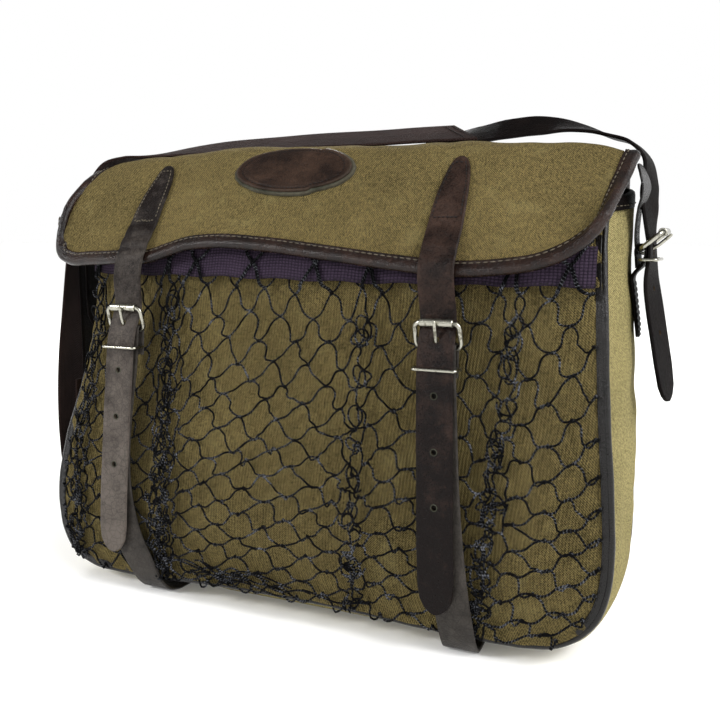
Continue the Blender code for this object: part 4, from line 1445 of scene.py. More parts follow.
@dataclass(frozen=True)
class Thread(Finish):
    """Sewing thread with its twist."""

    light: str
    dark: str

    def wire(self, nodes: Nodes) -> None:
        """Wires the twist, with painted shade in its grooves, and the dirt."""
        here = nodes.place()
        x, y, z = nodes.split(here)
        twist = ((x + y * 0.6 + z * 1.3) * (2 * math.pi / (0.9 * MM))).sin() * 0.5 + 0.5
        dirt = nodes.noise(here, 260, 3.0, 0.6)
        # Painted shade: the twist's grooves, low in the bump, are painted darker.
        colour = nodes.blend(twist * 0.4 + dirt * 0.8 - 0.15, paint(self.dark), paint(self.light))
        wired = {"Base Color": colour, "Normal": nodes.bump(twist, 0.00015)}
        nodes.surface({"Roughness": 0.75, "Specular IOR Level": 0.3}, wired)


@dataclass(frozen=True)
class Backdrop(Finish):
    """Seamless pale paper."""

    shade: str

    def wire(self, nodes: Nodes) -> None:
        """Wires a plain matt surface with the faintest mottle."""
        cloud = nodes.noise(nodes.place(), 2.0, 2.0)
        r, g, b, a = paint(self.shade)
        colour = nodes.blend(cloud, (r * 0.985, g * 0.985, b * 0.985, a), (r, g, b, a))
        own = {"Emission Color": (r, g, b, a), "Emission Strength": 0.1}
        nodes.surface({"Roughness": 0.9, "Specular IOR Level": 0.1, **own}, {"Base Color": colour})


class Look(Enum):
    """The finishes that the bag uses."""

    FLAP = Canvas("flap_canvas", "7F7047", "252010")
    PANEL = Canvas("panel_canvas", "7E7047", "2E2817", rib=1.0)
    # The gusset's canvas is painted lighter than the panels': painted light for the side that the lamps on
    # the right light brightly.
    GUSSET = Canvas("gusset_canvas", "ADA16E", "50492E")
    LINING = Canvas("lining_cloth", "6E7888", "3A414E", 1.4, 0.1, 0.0002)
    # The right strap's leather is painted paler towards its top: a painted sheen for the lamps' reflection
    # there.
    STRAP = Leather("strap_leather", "0D0706", "43322A", 0.3, 1.0, 0.8, 0.1, 0.24, -1.9)
    # The left strap's copy of the leather, with a greyer rub colour and painted paler towards its lower end:
    # a painted reflection of the soft front lamp.
    PAINTED_REFLECTION_STRAP = Leather("painted_reflection_strap_leather", "0F0907", "57504A", 0.4, 1.0, 0.8, 0.1, 0.25, 3.4)
    LOWER = Leather("lower_strap_leather", "221F1C", "4C4742", 0.36)
    BINDING = Leather("binding_leather", "0D0706", "34221A", 0.2, 0.6, 0.0, 0.24)
    PIPING = Leather("piping_leather", "040302", "120D0B", 0.2, 0.5, 0.0, 0.3)
    BILLET = Leather("billet_leather", "050303", "140E0C", 0.5, 0.8, 0.8, 0.04)
    PATCH = Leather("patch_leather", "180F0B", "463429", 0.4, 0.8, 0.2)
    ROUGH = Leather("rough_leather", "2A2B23", "55564A", 0.85, 0.6, 0.3)
    BAND = Webbing("purple_band", "493C4D", "151119", 2.6, 0.0007)
    SHOULDER = Webbing("shoulder_webbing", "43322E", "0C0808", 2.2, 0.0008)
    CORD = Cord("net_cord", "6A6C72", "030304")
    METAL = Metal("buckle_metal", "A4A296", "4A4536")
    PALE = Thread("pale_thread", "6E6656", "332D24")
    DARK = Thread("dark_thread", "15100E", "060404")
    FLOOR = Backdrop("paper", "F8F8F7")


def dress(made: Made, *looks: Look) -> Made:
    """Gives an object its finishes.

    Args:
        made: The object.
        looks: One finish for each slot.

    Returns:
        The same object.
    """
    made.data.materials.clear()
    for look in looks:
        made.data.materials.append(look.value.material())
    return made


@dataclass
class Assembly:
    """A group of pieces that are made and dressed together."""

    maker: Maker
    pieces: list[Made] = field(default_factory=list)

    def keep(self, made: Made, slot: str, looks: Sequence[Look], nodes: Sequence[str] = ()) -> Made:
        """Dresses a piece and hangs it on the bag.

        Args:
            made: The piece.
            slot: A material slot name; not used.
            looks: Its finishes.
            nodes: The plain solids that it stands for.

        Returns:
            The piece.
        """
        dress(made, *looks)
        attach(made, "root")
        if nodes:
            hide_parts(*nodes)
        self.pieces.append(made)
        log.info("%s: %d faces", made.name, len(made.data.polygons))
        return made

    def stitch(
        self, name: str, line: Grid, normals: Any, sizes: Sequence[float], look: Look, slot: str = "leather"
    ) -> None:
        """Sews a row of stitches and keeps it.

        Args:
            name: The row's name.
            line: The line of the seam.
            normals: The surface's outward direction, one or one for each point.
            sizes: The stitches' pitch, length and thickness.
            look: The thread.
            slot: A material slot name, passed on to keep.
        """
        self.keep(self.maker.stitches(name, line, normals, *sizes), slot, (look,))

    @staticmethod
    def ground(made: Made) -> Made:
        """Presses whatever reaches below the floor flat on it."""
        spots = spots_of(made.data)
        spots[:, 2] = np.maximum(spots[:, 2], 0.0)
        made.data.vertices.foreach_set("co", spots.reshape(-1))
        made.data.update()
        return made


def outward_of(points: Grid, towards: Sequence[float]) -> Grid:
    """Unit normals of a grid of points, turned to one side.

    Args:
        points: An array of (n, m, 3).
        towards: Roughly the direction of the outside at the grid's middle.

    Returns:
        Normals in the same shape.
    """
    normal = unit(np.cross(np.gradient(points, axis=0), np.gradient(points, axis=1)))
    middle = normal[points.shape[0] // 2, points.shape[1] // 2]
    return normal if float(np.dot(middle, array(towards))) > 0 else -normal


def fade(points: Grid, reach: float, sides: str = "both") -> Grid:
    """How far a grid's points are from its outer lines, from 0 on them to 1 at a distance of reach.

    Args:
        points: An array of (n, m, 3).
        reach: The distance in millimetres.
        sides: "across" looks at the second direction's ends only.

    Returns:
        An array of (n, m).
    """
    across = distances(points, 1)
    near = np.minimum(across, across[:, -1:] - across)
    if sides == "both":
        along = distances(points, 0)
        near = np.minimum(near, np.minimum(along, along[-1:] - along))
    share = np.clip(near / reach, 0, 1)
    return share * share * (3 - 2 * share)


@dataclass
class CanvasBody(Assembly):
    """The two panels, the gusset between them, their leather piping and the trims of the gusset."""

    wall: float = 2.0
    bead: float = 2.3
    flange: float = 4.6

    def build(self) -> None:
        """Makes every piece of the body."""
        self.front_panel()
        self.back_panel()
        self.gusset()
        self.piping("front_piping", FRONT_SEAM, -1)
        self.piping("back_piping", BACK_SEAM, 1)
        self.trims()

    def wall_of(self, node: str, points: Grid, flip: bool, look: Look) -> Made:
        """One canvas wall with its lining.

        Args:
            node: The plain solid that it stands for.
            points: Its middle surface.
            flip: Whether its faces are turned over.
            look: Its outer finish.

        Returns:
            The piece.
        """
        made = self.maker.thicken(self.maker.grid(f"{node}_cloth", points, flip), self.wall, 1)
        self.maker.shade(self.ground(made))
        return self.keep(made, "canvas", (look, Look.LINING), (node,))

    def front_panel(self) -> None:
        """The panel behind the net, a little slack between its seams."""
        plan = panel_plan(inset(FRONT_SEAM, 1.2), 190, 130, 309)
        x, z = plan[..., 0], plan[..., 1]
        points = np.stack([x, front_y(x, z), z], axis=2)
        soft = fade(points, 45)
        points[..., 1] -= ripples(x, z * 0.4, 11, 55, 150) * 1.3 * soft
        points[..., 1] -= ripples(x, z * 0.35, 12, 20, 46) * 0.35 * fade(points, 18)
        points[..., 1] += 0.5 * (1 - soft) * np.sin(x / 3.1 + z / 2.6)
        made = self.wall_of("front_panel", points, True, Look.PANEL)

    def back_panel(self) -> None:
        """The plain panel that lies against the wearer."""
        plan = panel_plan(inset(BACK_SEAM, 1.2), 170, 120, 315)
        x, z = plan[..., 0], plan[..., 1]
        points = np.stack([x, back_y(x, z), z], axis=2)
        soft = fade(points, 60)
        points[..., 1] += ripples(x, z, 21, 70, 210) * 1.7 * soft
        points[..., 1] += ripples(x, z, 22, 22, 60) * 0.35 * fade(points, 20)
        made = self.wall_of("back_panel", points, False, Look.PANEL)

    def gusset(self) -> None:
        """The long strip round sides and bottom, creased where it turns under."""
        points = gusset_grid(300, 44)
        normal = outward_of(points, (0, 0, -1))
        side = np.clip((points[..., 2] - 30) / 60, 0, 1)
        soft = fade(points, 22, "across")
        y, z = points[..., 1], points[..., 2]
        relief = ripples(y, z, 31, 40, 120) * 1.5 + ripples(y * 0.5, z, 32, 16, 40) * 0.45
        pinch = np.exp(-(((z - 212) / 13) ** 2)) * np.where(points[..., 0] > 0, 1.0, 0.6)
        points = points + normal * ((relief - 1.6 * pinch) * side * soft)[..., None]
        pucker = np.sin(np.arange(300)[:, None] * 1.15) * 0.45 * (1 - fade(points, 9, "across"))
        points = points + normal * (pucker * side)[..., None]
        points[..., 2] = np.maximum(points[..., 2], 1.0)
        here = points[150, 22]
        upward = float(np.cross(points[151, 22] - here, points[150, 23] - here)[2]) > 0
        made = self.wall_of("gusset", points, upward, Look.GUSSET)

    def piping(self, node: str, seam: Sequence[Spot], side: int) -> None:
        """A rolled bead on the seam with its flange sewn down on the panel.

        Args:
            node: The plain solid that it stands for.
            seam: The seam's table.
            side: -1 at the front, 1 at the back.
        """
        path = smooth(seam, 460)
        run = length_along(path)
        swell = 1 + 0.05 * np.sin(run / 7.0) + 0.04 * ripples(run, run * 0, 41 + side, 9, 40)
        bead = self.maker.without_pale_rim(self.maker.tube(f"{node}_bead", path, self.bead * swell, 16))
        inward = inward_of(unit(np.gradient(path, axis=0)))
        middle = path + inward * 3.2 + array((0, side * 1.7, 0))
        flange = self.maker.strap(f"{node}_flange", middle[::2], inward[::2], self.flange, 0.75, 8)
        made = self.ground(self.maker.join(f"{node}_leather", [bead, flange]))
        self.keep(self.maker.shade(made, 60), "leather", (Look.PIPING,), (node,))
        line = path + inward * 4.2 + array((0, side * 2.45, 0))
        self.stitch(f"{node}_seam", line, array((0, side, 0)), (5.0, 3.4, 0.55), Look.DARK)

    def trims(self) -> None:
        """Folded leather over the gusset's two upper ends."""
        points = gusset_grid(160, 40)
        outline = [(9, 1.1), (9, 2.3), (6, 2.6), (1, 2.7), (-1.2, 2.3), (-2.2, 1.2), (-2.4, 0)]
        outline += [(a, -b) for a, b in outline[-2::-1]]
        for name, rim, inner in (("left", points[0], points[1]), ("right", points[-1], points[-2])):
            down = unit(inner - rim)
            normal = unit(np.cross(np.gradient(rim, axis=0), down))
            keep = slice(2, -2)
            rings = [[p + d * a + n * b for a, b in outline] for p, d, n in zip(rim, down, normal)]
            made = self.maker.without_pale_rim(self.maker.loft(f"gusset_trim_{name}_leather", array(rings)[keep]))
            self.keep(made, "leather", (Look.BILLET,), (f"gusset_trim_{name}",))
            for side, face in ((1, "out"), (-1, "in")):
                line = (rim + down * 6.2 + normal * 2.75 * side)[keep]
                row = f"trim_thread_{name}_{face}"
                self.stitch(row, line, normal[keep] * side, (4.4, 3.2, 0.7), Look.PALE)


@dataclass
class Flap(Assembly):
    """The flap with its rolled leather binding."""

    form: FlapForm = field(default_factory=FlapForm)
    wall: float = 2.2

    def build(self) -> None:
        """Makes the cloth, then binds its edge."""
        runs = np.stack([smooth(self.form.profile(u), 110) for u in np.linspace(0, 1, 181)])
        normal = outward_of(runs, (0, -0.3, 1))
        soft = fade(runs, 30)
        x = runs[..., 0]
        down = distances(runs, 1)
        relief = ripples(x, down, 51, 60, 190) * 1.1 * soft
        relief = relief + ripples(x, down, 52, 18, 50) * 0.28 * fade(runs, 14)
        pull = np.exp(-((np.abs(x - 113) - 17) ** 2) / 60) + np.exp(-((np.abs(x + 132) - 17) ** 2) / 60)
        relief = relief - 0.5 * pull * soft
        pucker = np.sin(x / 2.3 + down / 2.6) * 0.22 * (1 - fade(runs, 14)) * fade(runs, 4)
        cloth = runs + normal * (relief + pucker)[..., None]
        made = self.maker.thicken(self.maker.grid("flap_cloth", cloth, True), self.wall, 1)
        self.keep(self.maker.shade(made), "canvas", (Look.FLAP, Look.LINING), ("flap",))
        self.bind(cloth, normal)
        wide, long = float(length_along(cloth[:, 55])[-1]) * MM, float(down.max()) * MM

    def bind(self, cloth: Grid, normal: Grid) -> None:
        """Rolls leather round the cloth's edge and sews it down.

        Args:
            cloth: The cloth's points.
            normal: Its outward normals.
        """
        n, m = cloth.shape[:2]
        edge = [(0, j) for j in range(m)] + [(i, m - 1) for i in range(1, n)]
        edge += [(n - 1, j) for j in range(m - 2, -1, -1)]
        points = array([cloth[i, j] for i, j in edge])
        normals = array([normal[i, j] for i, j in edge])
        inward = array([self.within(cloth, i, j) for i, j in edge]) - points
        along = unit(np.gradient(points, axis=0))
        inward = inward - along * np.sum(inward * along, axis=1, keepdims=True)
        inward = self.even(unit(inward))
        run = length_along(points)
        at = np.linspace(0, run[-1], 900)
        points, inward, up = (sampled(at, run, rows) for rows in (points, inward, normals))
        inward = unit(inward)
        up = unit(up - inward * np.sum(up * inward, axis=1, keepdims=True))
        swell = ripples(at, at * 0, 61, 14, 60) * 0.10 + ripples(at, at * 0, 62, 5, 13) * 0.045
        dent = 0.5 * (1 + np.cos(2 * math.pi * at / 4.7))
        outline = [(7.6, 0.6), (7.7, 1.9), (7.2, 2.55), (6.2, 2.75), (4.9, 2.75), (3.4, 3.1), (1.8, 3.5)]
        outline += [(0.2, 3.7), (-1.2, 3.3), (-2.2, 2.4), (-2.8, 1.2), (-3.0, 0)]
        outline += [(a, -b) for a, b in outline[-2::-1]]
        rings = np.empty((len(at), len(outline), 3))
        for k, (a, b) in enumerate(outline):
            groove = 0.42 * math.exp(-((a - 5.3) ** 2) / 1.2) * (1 if b > 0 else 0)
            grow = 1 + swell * (1.0 if a < 4 else 0.5)
            rings[:, k] = points + inward * a + up * ((b * grow) - groove * dent)[:, None]
        made = self.maker.without_pale_rim(self.maker.loft("flap_binding_leather", rings))
        self.keep(made, "leather", (Look.BINDING,), ("flap_binding",))
        line = points + inward * 5.3
        self.stitch("flap_binding_thread", line + up * 2.65, up, (4.7, 3.5, 0.85), Look.PALE)
        self.stitch("flap_binding_thread_under", line - up * 2.8, -up, (4.7, 3.5, 0.8), Look.PALE)

    @staticmethod
    def within(cloth: Grid, i: int, j: int) -> Grid:
        """The point of the cloth that lies a lip's width inside a point of its edge.

        Args:
            cloth: The cloth's points.
            i: The edge point's column.
            j: Its place down the column.

        Returns:
            The point.
        """
        n, m = cloth.shape[:2]
        if 0 < i < n - 1:
            line = cloth[i, ::-1]
        else:
            line = cloth[:, min(j, m - 6)] if i == 0 else cloth[::-1, min(j, m - 6)]
        return sampled(7.5, length_along(line), line)

    @staticmethod
    def even(directions: Grid) -> Grid:
        """Returns directions smoothed over their neighbours, so that corners turn gradually."""
        for _ in range(6):
            padded = np.concatenate([directions[:1], directions, directions[-1:]], axis=0)
            directions = unit(padded[:-2] + 2 * padded[1:-1] + padded[2:])
        return directions


@dataclass
class Buckles(Assembly):
    """Roller buckles: a bent wire frame, a tube that rolls on its far bar, and a tongue."""

    half_width: float = 15.2
    reach: float = 17.5
    wire: float = 1.55
    roller_half: float = 11.2
    keeper_half: float = 14.8
    keeper_wire: float = 1.05

    def frame(self, name: str, heel: Spot, across: Spot, up: Spot, out: Spot) -> None:
        """One buckle with its parts.

        Args:
            name: What the buckle belongs to.
            heel: Middle of the heel bar.
            across: Direction along the heel bar.
            up: Direction from the heel bar to the roller.
            out: Direction off the strap.
        """
        heel, across, up, out = array(heel), unit(across), unit(up), unit(out)
        corners = rounded_loop(self.half_width, 0.0, self.reach, 4.2)
        loop = array([heel + across * a + up * b for a, b in corners])
        wire = self.maker.tube(f"buckle_frame_{name}_wire", evenly(loop, 130), self.wire, 14, True)
        self.keep(wire, "buckles", (Look.METAL,), (f"buckle_frame_{name}",))
        half, rings = self.roller_half, []
        section = [(-half, 1.9), (-half, 2.5), (-half + 0.35, 2.8)]
        section += [(half - 0.35, 2.8), (half, 2.5), (half, 1.9)]
        for t in np.arange(32) * 2 * math.pi / 32:
            spoke = math.cos(t) * up + math.sin(t) * out
            rings.append([heel + up * self.reach + across * a + spoke * r for a, r in section])
        roller = self.maker.loft(f"buckle_roller_{name}_tube", array(rings), True)
        self.maker.shade(roller, 35)
        self.keep(roller, "buckles", (Look.METAL,), (f"buckle_roller_{name}",))
        curl = [(-2.75, 0.6), (-2.0, 2.2), (0.4, 2.95), (3.4, 3.3)]
        rest = [(8.5, 4.2), (15.0, 4.2), (20.4, 4.1)]
        path = smooth(array([heel + up * a + out * b for a, b in curl + rest]), 60)
        size = np.interp(np.arange(60), [0, 12, 50, 57, 59], [1.05, 1.15, 1.2, 1.0, 0.55])
        tongue = self.maker.tube(f"buckle_tongue_{name}_pin", path, size, 12)
        self.keep(tongue, "buckles", (Look.METAL,), (f"buckle_tongue_{name}",))

    def keeper(self, name: str, centre: Spot, across: Spot, out: Spot, deep: float) -> None:
        """The wire loop below a buckle.

        Args:
            name: What it belongs to.
            centre: Its middle.
            across: Direction across the strap.
            out: Direction off the strap.
            deep: Half its depth.
        """
        centre, across, out = array(centre), unit(across), unit(out)
        corners = rounded_loop(self.keeper_half, -deep, deep, 2.4)
        loop = array([centre + across * a + out * b for a, b in corners])
        wire = self.maker.tube(f"keeper_{name}_wire", evenly(loop, 96), self.keeper_wire, 10, True)
        self.keep(wire, "buckles", (Look.METAL,), (f"keeper_{name}",))


def rounded_loop(half_width: float, low: float, high: float, corner: float) -> list[tuple[float, float]]:
    """A closed rounded rectangle.

    Args:
        half_width: Half its width.
        low: Its lower line.
        high: Its upper line.
        corner: Radius of its corners.

    Returns:
        Pairs of across and up.
    """
    points = []
    corners = (
        (half_width - corner, high - corner, 0),
        (-half_width + corner, high - corner, 90),
        (-half_width + corner, low + corner, 180),
        (half_width - corner, low + corner, 270),
    )
    for cx, cz, start in corners:
        for a in range(0, 91, 10):
            turn = math.radians(start + a)
            points.append((cx + corner * math.cos(turn), cz + corner * math.sin(turn)))
    return points


def evenly(loop: Grid, count: int) -> Grid:
    """Returns points spaced evenly round a closed loop."""
    closed = np.concatenate([loop, loop[:1]], axis=0)
    run = length_along(closed)
    return sampled(np.linspace(0, run[-1], count, endpoint=False), run, closed)


class Side(Enum):
    """Left or right as seen from the front."""

    LEFT = "left"
    RIGHT = "right"


@dataclass
class FrontStrap(Assembly):
    """A tapered strap sewn to the flap, and the strap with the buckle that it goes into."""

    side: Side = Side.RIGHT
    form: FlapForm | None = None
    width: float = 25.0
    half_thick: float = 1.25

    def build(self) -> None:
        """Makes both straps, their sewing and their metal."""
        self.upper()
        self.lower()
        metal = Buckles(self.maker, self.pieces)
        heel = LOWER_FALL[self.side.value][0]
        metal.frame(self.side.value, heel, (1, 0, 0), (0, -0.28, 0.96), (0, -0.96, -0.28))
        centre = (114.8, -69.9, 190.5) if self.side is Side.RIGHT else (-136.5, -68.9, 191.5)
        metal.keeper(self.side.value, centre, (1, 0, 0), (0, -1, 0), 5.9)

    def upper_path(self) -> Grid:
        """Returns the upper strap's middle line, down the flap and over its edge."""
        top, bottom = (113, 113) if self.side is Side.RIGHT else (-131, -132)
        long = self.form.length(top)
        lifts = [(0.24, 2.9), (0.36, 2.9), (0.5, 2.9), (0.62, 3.0)]
        lifts += [(0.74, 3.5), (0.83, 5.2), (0.91, 6.1), (1.0, 6.4)]
        path = [self.form.lifted(top + (bottom - top) * share, long * share, lift) for share, lift in lifts]
        return smooth(path + [array(p) for p in UPPER_FALL[self.side.value]], 230)

    def upper(self) -> None:
        """The tapered strap with its punched holes and its sewing."""
        path = self.upper_path()
        run = length_along(path)
        end = run[-1]
        stops = [0, 1, 3, 8, 18, 30, 46, 60, end - 20, end - 10, end - 4, end - 1, end]
        full = self.width
        width = np.interp(run, stops, [5, 8.5, 11, 15, 19, 22, 24, full, full, 22.5, 16, 9, 4])
        creased = 0.35 if self.side is Side.LEFT else 0.12
        wrinkle = np.exp(-(((run - 72) / 14) ** 2)) * np.sin(run / 1.9) * creased
        wave = ripples(run, run * 0, 71, 18, 60) * 0.3 + wrinkle
        along = unit(np.gradient(path, axis=0))
        face = unit(np.cross(array((1.0, 0, 0)), along))
        face = np.where((face[:, 1] > 0)[:, None], -face, face)
        path = path + face * wave[:, None]
        name = f"upper_strap_{self.side.value}"
        made = self.maker.strap(f"{name}_leather", path, (1, 0, 0), width, self.half_thick, 14)
        holes = [path[np.argmin(abs(path[:, 2] - z) + 50 * (run < 90))] for z in (174, 138, 102)]
        slot = path[np.argmin(abs(path[:, 2] - 209) + 50 * (run < 90))]
        tools = [self.maker.drill(p, (0, 1, 0), 2.1) for p in [*holes, slot]]
        self.maker.shade(self.maker.cut(made, tools), 60)
        # The left strap takes the copy with the painted grey reflection, the right one the copy with the
        # painted sheen at its top.
        look = Look.STRAP if self.side is Side.RIGHT else Look.PAINTED_REFLECTION_STRAP
        self.keep(made, "leather", (look,), (name,))
        rims = []
        for p in holes:
            t = np.arange(28) * 2 * math.pi / 28
            ring = p + array((0, -1.2, 0)) + np.stack([np.cos(t), 0 * t, np.sin(t)], axis=1) * 2.15
            rims.append(self.maker.tube("rim", ring, 0.34, 8, True))
        rim = self.maker.without_pale_rim(self.maker.join(f"hole_rims_{self.side.value}", rims))
        self.keep(rim, "leather", (Look.ROUGH,))
        self.sew(path, face, run, width)

    def sew(self, path: Grid, face: Grid, run: Grid, width: Grid) -> None:
        """Stitches round the tapered end and across the strap below it.

        Args:
            path: The strap's middle line.
            face: Its outward direction.
            run: Distance along it.
            width: Its width.
        """
        top = run < 53
        x = array((1.0, 0, 0))
        middle, aside = path[top] + face[top] * 1.32, x * (width[top] / 2 - 2.4)[:, None]
        line = np.concatenate([(middle - aside)[:3:-1], (middle + aside)[4:]], axis=0)
        normals = np.concatenate([face[top][:3:-1], face[top][4:]], axis=0)
        look = Look.DARK if self.side is Side.RIGHT else Look.PALE
        self.stitch(f"strap_thread_{self.side.value}", line, normals, (3.4, 2.5, 0.9), look)
        k = int(np.argmin(abs(run - 53)))
        across = np.linspace(-9.2, 9.2, 30)[:, None]
        tall = 3.0 if self.side is Side.LEFT else 0.3
        zig = np.abs((np.linspace(0, 6, 30) % 1) - 0.5)[:, None] * tall
        down = unit(path[k + 2] - path[k - 2])
        line = path[k] + x * across + down * zig + face[k] * 1.45
        self.stitch(f"cross_thread_{self.side.value}", line, face[k], (2.9, 2.4, 0.9), look)

    def lower(self) -> None:
        """The strap that runs under the bag, turned round the buckle's heel bar at its top."""
        rows = array(LOWER_FALL[self.side.value])
        bar = rows[0]
        behind = [bar + (0, 2.3, -19), bar + (0, 3.0, -4)]
        for turn in range(0, 181, 20):
            a = math.radians(turn)
            behind.append(bar + (0, 3.2 * math.cos(a), 3.2 * math.sin(a)))
        fall = smooth(rows[1:], 150)
        path = np.concatenate([smooth(behind, 30), fall[1:]])
        path[:, 2] = np.maximum(path[:, 2], 1.3)
        half = np.interp(np.arange(len(path)), [0, 28, 36], [0.9, 0.9, 1.2])
        name = f"lower_strap_{self.side.value}"
        made = self.maker.strap(f"{name}_leather", path, (1, 0, 0), self.width, half, 12)
        slots = [self.maker.drill(bar + (0, -3, dz), (0, 1, 0), 1.8, 9.0) for dz in (-6.5, -3.5, 0, 3.0)]
        self.maker.shade(self.ground(self.maker.cut(made, slots)), 60)
        self.keep(made, "leather", (Look.LOWER,), (name,))


@dataclass
class OvalPatch(Assembly):
    """The bare oval of leather on the flap, on a rougher backing."""

    form: FlapForm | None = None
    middle: tuple[float, float] = (-14.5, 38.5)
    size: tuple[float, float] = (95.0, 43.5)
    backing: tuple[float, float] = (99.5, 47.5)

    def build(self) -> None:
        """Makes the backing, the patch and its sewing."""
        rim = [(1.0, 0.6), (1.0, 2.2), (0.985, 2.9), (0.95, 3.1), (0.5, 3.1)]
        self.oval("patch_backing", rim, self.backing, Look.ROUGH, 0.5)
        rim = [(1.0, 2.9), (1.0, 3.9), (0.99, 4.5), (0.965, 4.85), (0.93, 4.8)]
        rim += [(0.9, 4.45), (0.87, 4.35), (0.84, 4.75), (0.78, 4.95), (0.5, 5.0)]
        self.oval("oval_patch", rim, self.size, Look.PATCH, 0.3)
        line, normals = [], []
        for a in np.linspace(0, 2 * math.pi, 160):
            p, n = self.form.at(*self.place(self.size, 0.88, a))
            line.append(p + n * 4.5)
            normals.append(n)
        self.stitch("patch_thread", array(line), array(normals), (3.0, 2.1, 0.7), Look.DARK)

    def place(self, size: tuple[float, float], share: float, turn: float) -> tuple[float, float]:
        """Returns the x and the distance down the flap of a point at a share of an oval's radius."""
        across = self.middle[0] + size[0] / 2 * share * math.cos(turn)
        return across, self.middle[1] + size[1] / 2 * share * math.sin(turn)

    def oval(self, node: str, profile: Sequence[Spot], size: Spot, look: Look, rough: float) -> None:
        """One oval layer lying on the flap.

        Args:
            node: The plain solid that it stands for.
            profile: Shares of the radius with heights off the flap, from the rim inwards.
            size: Its width and height.
            look: Its finish.
            rough: How uneven its outline is.
        """
        t = np.arange(96) * 2 * math.pi / 96
        wobble = 1 + rough * 0.012 * ripples(np.cos(t) * 40, np.sin(t) * 40, 81, 8, 30)
        rings = []
        for share, lift in [*profile, (0.25, profile[-1][1]), (0.02, profile[-1][1])]:
            uneven = wobble if share > 0.8 else np.ones(len(t))
            rings.append([self.form.lifted(*self.place(size, share * w, a), lift) for a, w in zip(t, uneven)])
        made = self.maker.loft(f"{node}_leather", array(rings))
        from_middle = spots_of(made.data) - self.form.lifted(*self.middle, 4) * MM
        away = np.linalg.norm(from_middle * array((2 / size[0], 2 / size[1], 2 / size[1])) / MM, axis=1)
        # The stored distance gives the patch a pale rim towards its outline, partly wear and partly painted
        # highlight.
        self.maker.mark(made, np.maximum(0.0, (1 - away)) * 0.03)
        self.keep(made, "leather", (look,), (node,))


def gusset_x(points: Grid, side: int, y: float, z: float) -> float:
    """Where the gusset stands at this y and z.

    Args:
        points: The gusset's grid.
        side: -1 on the left, 1 on the right.
        y: Depth.
        z: Height.

    Returns:
        Its x.
    """
    rows = [row for row in points if row[0, 0] * side > 150]
    heights = array([np.interp(y, row[:, 1], row[:, 2]) for row in rows])
    found = array([np.interp(y, row[:, 1], row[:, 0]) for row in rows])
    order = np.argsort(heights)
    return float(np.interp(z, heights[order], found[order]))


@dataclass
class SideFastenings(Assembly):
    """On each side a leather tab folded round a heel bar, with its buckle and keeper."""

    def build(self) -> None:
        """Makes the right one and the left one."""
        self.one("side_right", 1, 17.0, 228.8, 0.77, 233.9)
        self.one("side_left", -1, 11.0, -224.5, 0.5, -229.6)
        self.ear()

    def ear(self) -> None:
        """The slack leather above the right buckle, in a leaf shape below the flap's corner."""
        rows = [(226.5, 10, 322), (229.5, 9, 315), (231.2, 8, 308), (230.2, 7, 300), (227.8, 7, 293)]
        rows += [(226.4, 8, 284), (225.8, 9, 274), (226.4, 11, 264)]
        path = smooth(rows, 80)
        run = length_along(path)
        width = np.interp(run, [0, 3, 9, 16, 24, 32, 62], [7, 13, 19, 21, 15, 9, 9])
        made = self.maker.strap("side_ear_leather", path, (0.12, 1.0, 0.0), width, 0.8, 12)
        self.keep(made, "leather", (Look.PIPING,))

    def one(self, name: str, side: int, y: float, bar_x: float, lean: float, keeper_x: float) -> None:
        """One tab with its buckle.

        Args:
            name: Its name.
            side: -1 on the left, 1 on the right.
            y: Depth of its middle.
            bar_x: Where the heel bar is.
            lean: How far the frame leans out.
            keeper_x: Where the keeper is.
        """
        points = gusset_grid(34, 6)
        slant = gusset_x(points, side, y + 12, 230) - gusset_x(points, side, y - 12, 230)
        across = unit((slant, 24, 0))
        off = side * (2.9 if side > 0 else 3.4)
        bar = array((bar_x, y, 266.5))
        rows = [(gusset_x(points, side, y, z) + off, y, z) for z in (208, 214, 224, 238, 248)]
        rows.append((bar_x + side * 1.9, y, 258.5))
        for turn in range(20, 161, 20):
            a = math.radians(turn)
            rows.append((bar[0] + side * 3.0 * math.cos(a), y, bar[2] + 3.0 * math.sin(a)))
        rows += [(bar[0] - side * 2.95, y, 260), (bar[0] - side * 2.6, y, 254)]
        path = smooth(rows, 110)
        run = length_along(path)
        share = np.interp(run, [0, 44, 52, run[-1]], [0, 0, 1, 1])[:, None]
        twist = unit(across * (1 - share) + array((0, 1.0, 0)) * share)
        width = np.interp(run, [0, 2, 8], [12, 18, 26])
        half = np.interp(run, [0, 44, 56, run[-1]], [1.2, 1.2, 0.8, 0.6])
        made = self.maker.strap(f"tab_{name}_leather", path, twist, width, half, 12)
        lows = (-6.0, -3.0, 0.5, 3.5)
        slots = [self.maker.drill(bar + (side * 4, 0, dz), (1, 0, 0), 2.0, 12.0) for dz in lows]
        self.maker.shade(self.maker.cut(made, slots), 60)
        self.keep(made, "leather", (Look.BILLET,), (f"tab_{name}",))
        face = array((side, 0, 0))
        low = run < 38
        for k, part in enumerate((-1, 1)):
            line = path[low] + twist[low] * (width[low] / 2 - 2.2)[:, None] * part + face * 1.3
            self.stitch(f"tab_thread_{name}_{k}", line, face, (4.0, 2.9, 0.7), Look.DARK)
        rise = math.sqrt(1 - lean**2)
        metal = Buckles(self.maker, self.pieces)
        metal.frame(name, bar, (0, 1, 0), (side * lean, 0, rise), (side * rise, 0, -lean))
        metal.keeper(name, (keeper_x, y - 0.5, 259.6), (0, 1, 0), (1, 0, 0), 5.6)


